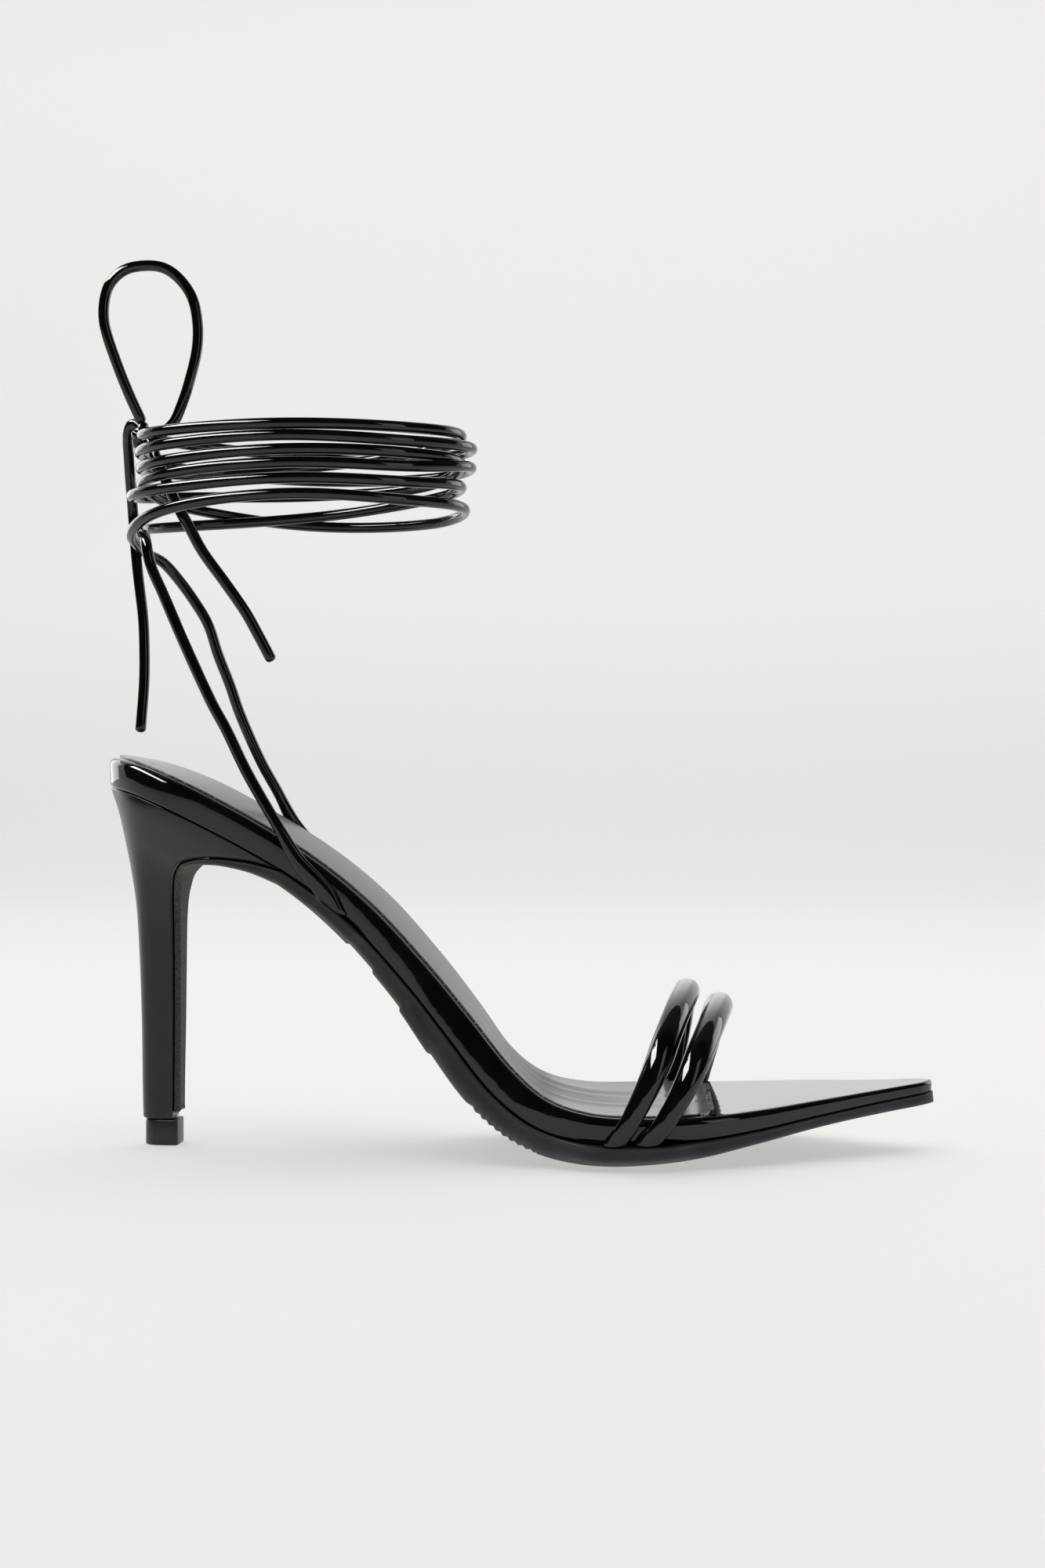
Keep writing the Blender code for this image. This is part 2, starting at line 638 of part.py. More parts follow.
def flap_rows():
    """Rows of the sole under the heel's front, down its breast to the tip."""
    rows = []
    levels = [run.first + (run.last - run.first) * k / (run.count - 1)
              for run in FLAP_RUNS for k in range(run.count)]
    fore_depth = SOLE_THICKNESS * last_at(SEAT_FRONT, "sole")
    for level in levels:
        _, here = heel_ends(level)
        _, above = heel_ends(min(level + 0.01, 1.0))
        _, below = heel_ends(level - 0.01)
        run = (below - above).normalized()
        up = Vector((run.z, 0.0, -run.x))
        seat = heel_at(level, "seat")
        ring = heel_ring(level)
        half_outer = -ring[len(HEEL_SHARES) - 1].y
        half_inner = ring[len(HEEL_SHARES)].y
        thicken = max(0.0, (level - FLAP_BLEND) / (1.0 - FLAP_BLEND)) ** 1.5
        depth = FLAP_THICKNESS + (fore_depth - FLAP_THICKNESS) * thicken
        rows.append(SoleRow(here - up * GAP, up, half_outer + HEEL_INSET * seat,
                            half_inner + HEEL_INSET * seat, (0.0, 0.0), 0.0, depth, depth))
    return rows


def make_sole():
    """Rubber sole with its bead, ribs and steps, and the flap down the heel's breast."""
    sole = fore_rows() + flap_rows()
    run = [0.0]
    for before, after in zip(sole, sole[1:]):
        run.append(run[-1] + (after.point - before.point).length)
    rows = [(row.outer, row.inner) for row in sole]

    def layer(level):
        spots = []
        for row in sole:
            inset = level.inset * SOLE_EDGE * (row.outer + row.inner) / BALL_WIDTH
            outer, inner = (inset - wide * (1.0 - level.relief) for wide in row.ledges)
            spots.append((outer, inner, -level.drop * row.depth - level.relief * (row.bottom - row.depth)))
        return spots

    layers = [layer(level) for level in SOLE_PROFILE]

    def place(i, ahead, side, rise, share):
        row = sole[i]
        off = ahead - run[i]
        forward = Vector((-row.up.z, 0.0, row.up.x))
        spot = row.point + forward * off + row.up * rise + Vector((-row.slant * side, side, 0.0))
        spot.z = max(spot.z, 0.0)
        return spot

    return slab("outsole", rows, run, layers, place, RUBBER)


def smooth_route(points, count):
    """Read evenly spaced points from a smooth curve through the route's points."""
    keys = [0.0]
    for before, after in zip(points, points[1:]):
        keys.append(keys[-1] + (Vector(after) - Vector(before)).length)
    columns = list(zip(*[tuple(p) for p in points]))
    places = [keys[-1] * k / (count - 1) for k in range(count)]
    return [Vector([hermite(keys, column, place) for column in columns]) for place in places]


def directions(centres):
    """Unit direction of a path at each of its points."""
    last = len(centres) - 1
    return [(centres[min(k + 1, last)] - centres[max(k - 1, 0)]).normalized() for k in range(last + 1)]


def turn_plane(run, up, share):
    """Turn a section's normal from the path's direction towards this up direction, or its opposite."""
    side = up if run.dot(up) > 0 else -up
    return run.lerp(side, share).normalized()


def sweep(name, centres, planes, outward, widths, depths, sides, finish):
    """Sweep an oval section along a path, flat across its outward direction.

    planes: normal of each section, which is the path's direction but for roots that are cut aslant.
    """
    last = len(centres) - 1
    vertices = []
    for k, (centre, run, plane) in enumerate(zip(centres, directions(centres), planes)):
        broad = plane.cross(outward[k]).normalized()
        thin = broad.cross(plane).normalized()
        wide = broad * (widths[k] / 2 / run.dot(plane))
        for j in range(sides):
            turn = 2 * pi * (j + 0.5) / sides
            vertices.append(centre + wide * cos(turn) + thin * sin(turn) * depths[k] / 2)
    faces = [tuple(range(sides - 1, -1, -1)), tuple(last * sides + j for j in range(sides))]
    for k in range(last):
        for j in range(sides):
            after = (j + 1) % sides
            low = k * sides
            faces.append((low + j, low + after, low + sides + after, low + sides + j))
    return mesh_object(name, vertices, faces, finish)


def edge_spot(along, outer_side, rise, out):
    """Point beside the footbed's edge at this station, at a rise from its top and a way out."""
    outer, inner = half_widths(along)
    side = -(outer + out) if outer_side else inner + out
    return on_last(along, side, rise)


def strap_route(row):
    """Centres of one toe strap from its outer root over its crown to its inner root."""
    out = GAP + STRAP_ROOT_DEPTH / 2
    crown = Vector((row.crown * LENGTH, 0.0, STRAP_RISE * row.rise))
    sides = []
    for outer_side, along in ((True, row.outer), (False, row.inner)):
        root = edge_spot(along, outer_side, -footbed_depth(along), out)
        span = crown - root
        sides.append([Vector((root.x + span.x * spot.lean, root.y * spot.side,
                              root.z + span.z * spot.rise)) for spot in STRAP_ARC])
    return sides[0] + [crown] + sides[1][::-1]


def make_strap(row):
    """One toe strap: a stuffed tube with flattened roots."""
    centres = smooth_route(strap_route(row), STRAP_POINT_COUNT)
    runs = directions(centres)
    planes = []
    outward = []
    widths = []
    depths = []
    for k, centre in enumerate(centres):
        share = abs(2 * k / (STRAP_POINT_COUNT - 1) - 1)
        flat = min(1.0, max(0.0, (share - FLAT_START) / FLAT_RUN))
        flat = flat * flat * (3 - 2 * flat)
        side = Vector((0.0, centre.y, (centre.z - SOLE_THICKNESS) * (1 - flat)))
        planes.append(turn_plane(runs[k], Vector((0.0, 0.0, 1.0)), flat))
        outward.append(side.normalized() if side.length > 0 else Vector((0, 0, 1)))
        widths.append(STRAP_DIAMETER * (1 - flat) + STRAP_ROOT_WIDTH * flat)
        depths.append(STRAP_DIAMETER * (1 - flat) + STRAP_ROOT_DEPTH * flat)
    return sweep(row.name, centres, planes, outward, widths, depths, STRAP_SIDES, PATENT)


def wrap_point(turn, level, outset):
    """Point of a tie round the ankle: turn from the heel's back, positive round the outer side."""
    length = WRAP_LENGTH / 2 + outset * (TIE_DIAMETER - TIE_FUSE)
    width = WRAP_WIDTH / 2 + outset * (TIE_DIAMETER - TIE_FUSE)
    return Vector((WRAP_CENTRE * LENGTH - length * cos(turn), -width * sin(turn),
                   WRAP_HEIGHT + level * TURN_PITCH))


def wrap_route(eighths, sign, last):
    """Centres of a tie round the ankle, from the heel's back to its last turn angle in degrees."""
    keys = [45.0 * k for k in range(len(eighths))]
    levels = [eighth.level for eighth in eighths]
    outsets = [eighth.outset for eighth in eighths]
    count = round(last / TIE_STEP)
    route = []
    for k in range(count + 1):
        turn = last * k / count
        level = hermite(keys, levels, turn)
        route.append(wrap_point(sign * radians(turn), level, hermite(keys, outsets, turn)))
    return route


def riser_route(route, along, outer_side):
    """Centres of a riser from its root beside the footbed to the first of its wrap."""
    root = edge_spot(along, outer_side, TIE_ROOT_WIDTH / 2 + GAP - footbed_depth(along),
                     GAP + TIE_ROOT_DEPTH / 2)
    rest = [Vector((spot.along * LENGTH, spot.side * root.y, spot.high * SEAT_HEIGHT)) for spot in route]
    return [root] + rest


def make_tie(name, riser, root, outer_side, eighths, last):
    """One ankle tie: a flattened root, a riser and three turns round the ankle."""
    wrap = wrap_route(eighths, -1 if outer_side else 1, last)
    rise = riser_route(riser, root, outer_side)
    centres = smooth_route(rise + [wrap[0]], RISER_POINT_COUNT)[:-1] + wrap
    runs = directions(centres)
    planes = []
    outward = []
    widths = []
    depths = []
    away = 0.0
    for k, centre in enumerate(centres):
        away += (centre - centres[k - 1]).length if k else 0.0
        flat = max(0.0, 1.0 - away / TIE_ROOT_RUN)
        middle = Vector((WRAP_CENTRE * LENGTH, 0.0, centre.z))
        side = Vector((0.0, centre.y, 0.0)) if k < RISER_POINT_COUNT // 2 else centre - middle
        planes.append(turn_plane(runs[k], depth_direction(root), TIE_ROOT_CUT * flat))
        outward.append(side.normalized())
        widths.append(TIE_DIAMETER + (TIE_ROOT_WIDTH - TIE_DIAMETER) * flat)
        depths.append(TIE_DIAMETER + (TIE_ROOT_DEPTH - TIE_DIAMETER) * flat)
    return sweep(name, centres, planes, outward, widths, depths, TIE_SIDES, PATENT)


def join_solids(first, second):
    """Fuse the second solid into the first where they cross."""
    modifier = first.modifiers.new("join", "BOOLEAN")
    modifier.operation = "UNION"
    modifier.solver = "EXACT"
    modifier.object = second
    graph = bpy.context.evaluated_depsgraph_get()
    joined = bpy.data.meshes.new_from_object(first.evaluated_get(graph))
    first.modifiers.clear()
    first.data = joined
    bpy.data.objects.remove(second)
    return first


def make_ties():
    """Both ankle ties as one solid, joined where they cross."""
    outer = make_tie("ankle_ties", OUTER_RISER, OUTER_ROOT, True, OUTER_TIE_WRAP, OUTER_TURNS)
    inner = make_tie("inner_tie", INNER_RISER, INNER_ROOT, False, INNER_TIE_WRAP, INNER_TURNS)
    return join_solids(outer, inner)


def cord(name, route, count):
    """A free cord as a bevelled curve with filled caps."""
    curve = bpy.data.curves.new(name, "CURVE")
    curve.dimensions = "3D"
    curve.bevel_depth = TIE_DIAMETER / 2
    curve.bevel_resolution = 2
    curve.use_fill_caps = True
    spline = curve.splines.new("POLY")
    points = smooth_route([Vector(p) * MM for p in route], count)
    spline.points.add(len(points) - 1)
    for spot, point in zip(spline.points, points):
        spot.co = (*point, 1.0)
    made = bpy.data.objects.new(name, curve)
    made.data.materials.append(material(name, PATENT))
    bpy.context.collection.objects.link(made)
    return made


def make_knot():
    """Plain solid of the knot's size at the back of the wrap."""
    shell = bmesh.new()
    bmesh.ops.create_uvsphere(shell, u_segments=12, v_segments=8, radius=0.5)
    bmesh.ops.scale(shell, vec=(0.78 * KNOT_SIZE, 1.2 * KNOT_SIZE, KNOT_SIZE), verts=shell.verts)
    bmesh.ops.translate(shell, vec=Vector(KNOT_CENTRE) * MM, verts=shell.verts)
    for face in shell.faces:
        face.smooth = True
    mesh = bpy.data.meshes.new("tie_knot")
    shell.to_mesh(mesh)
    shell.free()
    made = bpy.data.objects.new("tie_knot", mesh)
    made.data.materials.append(material("tie_knot", PATENT))
    bpy.context.collection.objects.link(made)
    return made


def corners(pieces):
    """Lowest and highest X and Y of these pieces."""
    spots = [piece.matrix_world @ vertex.co for piece in pieces for vertex in piece.data.vertices]
    return [(min(s[axis] for s in spots), max(s[axis] for s in spots)) for axis in (0, 1)]


def build():
    """Build every piece and centre the shoe over the origin."""
    for old in list(bpy.data.objects):
        bpy.data.objects.remove(old)
    pieces = [make_footbed(), make_sole(), make_heel(), make_top_lift()]
    pieces += [make_strap(row) for row in STRAPS]
    pieces.append(make_ties())
    cords = [make_knot(), cord("tie_loop", LOOP_ROUTE, 26), cord("tie_end_long", LONG_END_ROUTE, 16),
             cord("tie_end_short", SHORT_END_ROUTE, 14)]
    bpy.context.view_layer.update()
    (back, front), (outer, inner) = corners(pieces)
    shift = Vector((-(back + front) / 2, -(outer + inner) / 2, 0.0))
    for piece in pieces + cords:
        piece.location = shift
    bpy.context.view_layer.update()


build()
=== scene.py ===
"""Looks of a black patent lace up sandal: smooth forms, sock lining, seams, tied ends and studio.

Lengths are metres in the shoe's own frame: X from the heel's back to the toe tip, Y from the middle
plane with the outer side at -Y, Z up from the floor. Piece.finish adds MIDDLE, which puts every mesh
into the frame of the part.
"""
from __future__ import annotations

import logging
from dataclasses import dataclass, field
from enum import Enum
from math import atan, cos, exp, hypot, pi, radians, sin, sqrt
from typing import Callable, Iterable, Sequence

import bmesh
import bpy
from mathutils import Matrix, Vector

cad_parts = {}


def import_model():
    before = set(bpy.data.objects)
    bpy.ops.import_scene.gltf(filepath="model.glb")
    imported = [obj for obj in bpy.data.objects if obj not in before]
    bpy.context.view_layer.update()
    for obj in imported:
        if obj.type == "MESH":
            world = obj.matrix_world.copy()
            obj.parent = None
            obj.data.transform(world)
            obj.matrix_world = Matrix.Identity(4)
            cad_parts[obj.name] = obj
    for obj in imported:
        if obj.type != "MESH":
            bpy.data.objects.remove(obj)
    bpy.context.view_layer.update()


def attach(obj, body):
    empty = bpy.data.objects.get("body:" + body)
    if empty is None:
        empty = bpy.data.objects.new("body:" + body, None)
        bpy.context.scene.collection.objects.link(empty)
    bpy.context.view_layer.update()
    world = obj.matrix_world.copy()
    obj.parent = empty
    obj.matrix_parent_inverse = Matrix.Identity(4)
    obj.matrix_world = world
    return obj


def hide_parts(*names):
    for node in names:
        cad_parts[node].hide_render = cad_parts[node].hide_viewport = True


Pair = tuple[float, float]
Triple = tuple[float, float, float]

LOG = logging.getLogger("sandal")
MM = 0.001

LENGTH = 0.2204
BALL_WIDTH = 0.079
SEAT_HEIGHT = 0.1052
FOOTBED_THICKNESS = 0.0070
FOOTBED_EDGE = 0.0022
LOWER_BEVEL = 0.3
SOLE_THICKNESS = 0.0066
SOLE_EDGE = 0.0115
GAP = 0.0003
HEEL_ARC = 0.026
TOE_ARC = 0.0045
HEEL_UPRIGHT = 0.16
SLOPE_SPAN = 0.004
TIE_DIAMETER = 0.0030
STRAP_DIAMETER = 0.0070
MIDDLE = Vector((-0.11046, 0.00057, 0.0))


class Corner(Enum):
    """How the ends of a tube are closed."""

    FLAT = "flat"
    ROUND = "round"


@dataclass(frozen=True)
class Section:
    """One section of the last, in shares of the shoe's named sizes."""

    along: float
    height: float
    outer: float
    inner: float
    slant: float
    crown: float
    footbed: float
    sole: float


SECTIONS = tuple(Section(*row) for row in (
    (0.000, 1.000, 0.335, 0.330, 0.00, 0.02, 1.18, 0.60),
    (0.060, 0.970, 0.338, 0.332, 0.00, 0.02, 1.14, 0.60),
    (0.138, 0.898, 0.338, 0.325, 0.00, 0.06, 1.08, 0.60),
    (0.250, 0.762, 0.326, 0.290, 0.00, 0.10, 1.00, 0.62),
    (0.330, 0.632, 0.328, 0.250, 0.00, 0.12, 0.96, 0.75),
    (0.400, 0.475, 0.350, 0.236, 0.02, 0.10, 1.00, 0.83),
    (0.450, 0.345, 0.388, 0.258, 0.05, 0.04, 1.08, 0.98),
    (0.490, 0.235, 0.424, 0.300, 0.08, -0.02, 1.12, 1.01),
    (0.530, 0.165, 0.462, 0.362, 0.08, -0.08, 1.06, 1.01),
    (0.580, 0.132, 0.492, 0.426, 0.07, -0.12, 1.00, 0.99),
    (0.640, 0.125, 0.502, 0.474, 0.05, -0.12, 0.94, 0.97),
    (0.720, 0.128, 0.468, 0.488, 0.03, -0.06, 0.82, 0.87),
    (0.790, 0.137, 0.378, 0.428, 0.01, 0.00, 0.70, 0.68),
    (0.860, 0.150, 0.255, 0.325, 0.00, 0.00, 0.56, 0.55),
    (0.930, 0.163, 0.122, 0.190, 0.00, 0.00, 0.46, 0.48),
    (1.000, 0.178, 0.010, 0.090, 0.00, 0.00, 0.40, 0.44),
))


def smooth_read(keys: Sequence[float], values: Sequence[float], at: float) -> float:
    """Read a smooth curve through values at their rising keys.

    Args:
        keys: Rising places.
        values: The value at each place.
        at: The place to read.

    Returns:
        The value of a cubic through its neighbours.
    """
    last = len(keys) - 1
    at = min(max(at, keys[0]), keys[last])
    low, high = 0, last
    while high - low > 1:
        mid = (low + high) // 2
        if keys[mid] <= at:
            low = mid
        else:
            high = mid
    span = keys[low + 1] - keys[low]
    share = (at - keys[low]) / span

    def slope(k: int) -> float:
        """Slope at a key, from its neighbours."""
        before, after = max(k - 1, 0), min(k + 1, last)
        return (values[after] - values[before]) / (keys[after] - keys[before])

    square, cube = share * share, share ** 3
    return ((2 * cube - 3 * square + 1) * values[low] + (cube - 2 * square + share) * span * slope(low)
            + (3 * square - 2 * cube) * values[low + 1] + (cube - square) * span * slope(low + 1))


def smooth_route(points: Sequence[Vector], count: int) -> list[Vector]:
    """Read evenly spaced points from a smooth curve.

    Args:
        points: The points that the curve runs through.
        count: How many points to return.

    Returns:
        Points at equal steps of the route's own length.
    """
    keys = [0.0]
    for before, after in zip(points, points[1:]):
        keys.append(keys[-1] + (after - before).length)
    columns = list(zip(*[tuple(p) for p in points]))
    places = [keys[-1] * k / (count - 1) for k in range(count)]
    return [Vector([smooth_read(keys, column, place) for column in columns]) for place in places]


def even(start: float, stop: float, count: int) -> list[float]:
    """Evenly spaced places that stop short of the last one."""
    return [start + (stop - start) * k / count for k in range(count)]


def toe_stations() -> list[float]:
    """Stations round the toe's tip, closer together towards it."""
    return [1 - TOE_ARC / LENGTH * (1 - cos(pi / 2 * (k + 0.2) / 6)) for k in reversed(range(6))]


def bell(distance: float, width: float) -> float:
    """Smooth bump of height 1 that fades out over this width."""
    return exp(-(distance / width) ** 2)


def held(share: float) -> float:
    """Share held between 0 and 1."""
    return min(1.0, max(0.0, share))


def eased(share: float) -> float:
    """Share held between 0 and 1, with soft ends."""
    share = held(share)
    return share * share * (3 - 2 * share)


@dataclass(frozen=True)
class Last:
    """The foot form that every other piece is built on."""

    sections: tuple[Section, ...] = SECTIONS
    keys: tuple[float, ...] = field(default=tuple(s.along for s in SECTIONS))

    def read(self, along: float, column: str) -> float:
        """Read one column of the table of sections."""
        return smooth_read(self.keys, [getattr(s, column) for s in self.sections], along)

    def top(self, along: float) -> float:
        """Height of the footbed's top."""
        return SEAT_HEIGHT * self.read(along, "height")

    def footbed(self, along: float) -> float:
        """Thickness of the footbed."""
        return FOOTBED_THICKNESS * self.read(along, "footbed")

    def up(self, along: float) -> Vector:
        """Direction out of the footbed's top, upright at the heel's back.

        Args:
            along: Station, 0 at the heel's back and 1 at the toe.

        Returns:
            A unit direction.
        """
        low, high = max(along - SLOPE_SPAN, 0.0), min(along + SLOPE_SPAN, 1.0)
        slope = (self.top(high) - self.top(low)) / ((high - low) * LENGTH)
        tilt = atan(slope) * min(1.0, along / HEEL_UPRIGHT)
        return Vector((-sin(tilt), 0.0, cos(tilt)))

    def half_widths(self, along: float) -> Pair:
        """Distances of the footbed's outer and inner edge from the middle plane.

        Args:
            along: Station, 0 at the heel's back and 1 at the toe.

        Returns:
            The outer and the inner distance.
        """
        outer = BALL_WIDTH * self.read(along, "outer")
        inner = BALL_WIDTH * self.read(along, "inner")
        share = 1.0
        for reach, distance in ((HEEL_ARC, along * LENGTH), (TOE_ARC, (1.0 - along) * LENGTH)):
            if distance < reach:
                share *= sqrt(max(0.0, 1.0 - (1.0 - distance / reach) ** 2))
        centre, half = (inner - outer) / 2, (inner + outer) / 2 * share
        return half - centre, half + centre

    def spot(self, along: float, side: float, rise: float) -> Vector:
        """Place a point by its station, side and rise over the top's middle line."""
        base = Vector((along * LENGTH - self.read(along, "slant") * side, side, self.top(along)))
        return base + self.up(along) * rise

    def dressed(self, along: float, side: float, rise: float) -> Vector:
        """Place a point over the crowned top of the footbed.

        Args:
            along: Station, 0 at the heel's back and 1 at the toe.
            side: Distance from the middle plane, outer side negative.
            rise: Height over the crowned top.

        Returns:
            The point.
        """
        outer, inner = self.half_widths(along)
        share = (side - (inner - outer) / 2) / max((inner + outer) / 2, 1e-6)
        crown = FOOTBED_THICKNESS * self.read(along, "crown") * max(0.0, 1 - share * share)
        return self.spot(along, side, rise + crown)

    def under(self, along: float, drop: float) -> Vector:
        """Middle point below the footbed's underside."""
        return self.spot(along, 0.0, -self.footbed(along) - drop)

    def edge(self, along: float, outer_side: bool, rise: float, out: float) -> Vector:
        """Point beside the footbed's edge."""
        outer, inner = self.half_widths(along)
        return self.spot(along, -(outer + out) if outer_side else inner + out, rise)


class Socket:
    """A shader value with operators that add Math nodes."""

    def __init__(self, graph: "Graph", socket: bpy.types.NodeSocket) -> None:
        """Keep the socket and the graph that it is in."""
        self.graph, self.socket = graph, socket

    def _maths(self, operation: str, *values: "Socket | float") -> "Socket":
        """Add one Math node over these values."""
        return self.graph.node("ShaderNodeMath", {"operation": operation}, dict(enumerate(values)))

    def __add__(self, other: "Socket | float") -> "Socket":
        """Add."""
        return self._maths("ADD", self, other)

    __radd__ = __add__

    def __mul__(self, other: "Socket | float") -> "Socket":
        """Multiply."""
        return self._maths("MULTIPLY", self, other)

    __rmul__ = __mul__

    def __sub__(self, other: "Socket | float") -> "Socket":
        """Subtract."""
        return self._maths("SUBTRACT", self, other)

    def __rsub__(self, other: "Socket | float") -> "Socket":
        """Subtract this from another value."""
        return self._maths("SUBTRACT", other, self)

    def __abs__(self) -> "Socket":
        """Distance from zero."""
        return self._maths("ABSOLUTE", self)

    def over(self, low: float, high: float) -> "Socket":
        """Share of the way from low to high, smoothed and held between 0 and 1."""
        return self.graph.node("ShaderNodeMapRange", {"interpolation_type": "SMOOTHSTEP"},
                               {"Value": self, "From Min": low, "From Max": high})


class Graph:
    """The nodes of one material, with a Principled shader at their end."""

    def __init__(self, name: str) -> None:
        """Start a material of this name.

        Args:
            name: Name of the material.
        """
        self.material = bpy.data.materials.new(name)
        self.material.use_nodes = True
        self.tree = self.material.node_tree
        self.shader = self.tree.nodes["Principled BSDF"]

    @classmethod
    def over_tree(cls, tree: bpy.types.NodeTree) -> "Graph":
        """Work on a tree that is there already, such as the world's.

        Args:
            tree: The nodes to work on.

        Returns:
            A graph with no material of its own.
        """
        graph = cls.__new__(cls)
        graph.tree = tree
        return graph

    def node(self, kind: str, settings: dict | None = None, inputs: dict | None = None,
             output: int | str = 0) -> Socket:
        """Add a node.

        Args:
            kind: The node's type.
            settings: Its own settings, set first.
            inputs: Values or links for its sockets, by name or number.
            output: The output to return.

        Returns:
            The chosen output.
        """
        node = self.tree.nodes.new(kind)
        for key, value in (settings or {}).items():
            setattr(node, key, value)
        for key, value in (inputs or {}).items():
            self._feed(node.inputs[key], value)
        return Socket(self, node.outputs[output])

    def _feed(self, socket: bpy.types.NodeSocket, value: object) -> None:
        """Link or set one input.

        Args:
            socket: The input.
            value: A Socket to link, or a value.
        """
        if isinstance(value, Socket):
            self.tree.links.new(value.socket, socket)
        elif isinstance(value, (tuple, list)) and socket.type == "RGBA" and len(value) == 3:
            socket.default_value = (*value, 1.0)
        else:
            socket.default_value = value

    def shade(self, **inputs: object) -> None:
        """Feed the Principled shader, a name's spaces written as underscores."""
        for key, value in inputs.items():
            self._feed(self.shader.inputs[key.replace("_", " ")], value)

    def place(self) -> Socket:
        """Object coordinates."""
        return self.node("ShaderNodeTexCoord", output="Object")

    def noise(self, scale: float, detail: float = 3.0, stretch: tuple | None = None) -> Socket:
        """Noise over the object's own coordinates, stretched where asked.

        Args:
            scale: How fine it is.
            detail: How many octaves.
            stretch: Scale along X, Y and Z.

        Returns:
            The noise, about 0 to 1.
        """
        vector = self.place()
        if stretch:
            vector = self.node("ShaderNodeMapping", {}, {"Vector": vector, "Scale": stretch})
        return self.node("ShaderNodeTexNoise", {}, {"Vector": vector, "Scale": scale, "Detail": detail})

    def cells(self, scale: float) -> Socket:
        """Distance to the nearest cell middle, for grain."""
        return self.node("ShaderNodeTexVoronoi", {}, {"Vector": self.place(), "Scale": scale}, "Distance")

    def bump(self, height: Socket, depth: float, onto: Socket | None = None) -> Socket:
        """Bump of this depth in metres, on another bump where given.

        Args:
            height: Height from 0 to 1.
            depth: Depth of a height of 1.
            onto: Bump that lies under it.

        Returns:
            The normal.
        """
        inputs: dict = {"Height": height, "Distance": depth, "Strength": 1.0}
        if onto:
            inputs["Normal"] = onto
        return self.node("ShaderNodeBump", {}, inputs)

    def mix(self, share: Socket, first: tuple | Socket, second: tuple | Socket) -> Socket:
        """Mix two colours."""
        return self.node("ShaderNodeMix", {"data_type": "RGBA"}, {0: share, 6: first, 7: second}, 2)

    def split(self, vector: Socket) -> list[Socket]:
        """Parts of a vector along X, Y and Z."""
        first = self.node("ShaderNodeSeparateXYZ", {}, {0: vector})
        return [Socket(self, output) for output in first.socket.node.outputs]

    def height(self) -> Socket:
        """Height over the floor."""
        return self.split(self.place())[2]

    def facing_up(self) -> Socket:
        """How far the surface faces up, 1 for a level top."""
        return self.split(self.node("ShaderNodeNewGeometry", output="Normal"))[2]

    def uv(self) -> list[Socket]:
        """Both UV coordinates."""
        return self.split(self.node("ShaderNodeUVMap", {"uv_map": "run"}))[:2]

    def speckle(self, share: Socket, colour: Triple, times: float) -> Socket:
        """A colour that goes up or down to so many times itself."""
        return self.mix(share, colour, tuple(times * part for part in colour))


@dataclass(frozen=True)
class Patent:
    """Black patent with a lacquer that is never quite flat."""

    name: str = "patent"
    colour: Triple = (0.0050, 0.0046, 0.0056)
    roughness: float = 0.055
    ripple: float = 0.00005
    ior: float = 1.5
    coat: float = 1.0
    coat_from: Pair = (0.80, 0.97)
    coat_roughness: float = 0.03
    dust_roughness: float = 0.03
    haze_roughness: float = 0.03
    seam: float | None = None
    seam_width: float = 0.035
    seam_depth: float = 0.00025

    def make(self) -> bpy.types.Material:
        """Build the material.

        Returns:
            The material.
        """
        graph = Graph(self.name)
        haze = graph.noise(160.0, 4.0)
        dust = graph.noise(2400.0, 2.0).over(0.66, 0.80)
        least = self.roughness - self.haze_roughness / 2
        graph.shade(Base_Color=graph.speckle(haze.over(0.3, 0.8), self.colour, 1.7), IOR=self.ior,
                    Roughness=haze * self.haze_roughness + least + dust * self.dust_roughness,
                    Coat_Weight=graph.facing_up().over(*self.coat_from) * self.coat,
                    Coat_Roughness=self.coat_roughness)
        relief = graph.bump(graph.noise(210.0, 1.5), self.ripple)
        if self.seam is not None:
            around, _ = graph.uv()
            groove = abs(around - self.seam).over(0.0, self.seam_width)
            relief = graph.bump(groove, self.seam_depth, relief)
        graph.shade(Normal=relief)
        return graph.material


@dataclass(frozen=True)
class SockLeather:
    """Matt grey lining leather with fine grain and worn shading."""

    name: str = "sock_leather"
    dark: Triple = (0.026, 0.0265, 0.0250)
    light: Triple = (0.060, 0.0615, 0.0575)
    coat: float = 0.35
    level_coat: float = 0.6
    level_from: Pair = (0.86, 0.985)
    grain_depth: float = 0.00022
    dimple_depth: float = 0.00014

    def make(self) -> bpy.types.Material:
        """Build the material.

        Returns:
            The material.
        """
        graph = Graph(self.name)
        cloud, grain = graph.noise(42.0, 5.0), graph.cells(2000.0)
        fleck = graph.noise(1500.0, 3.0)
        shade = cloud.over(0.3, 0.75) * 0.7 + fleck * 0.3
        graph.shade(Base_Color=graph.mix(shade, self.dark, self.light),
                    Roughness=cloud * 0.10 + 0.34 + grain * 0.08, Sheen_Weight=0.30, Sheen_Roughness=0.35,
                    Specular_IOR_Level=0.6, Coat_Roughness=0.15,
                    Coat_Weight=graph.facing_up().over(*self.level_from) * self.level_coat + self.coat)
        relief = graph.bump(grain, self.grain_depth)
        graph.shade(Normal=graph.bump(graph.noise(330.0, 3.0), self.dimple_depth, relief))
        return graph.material


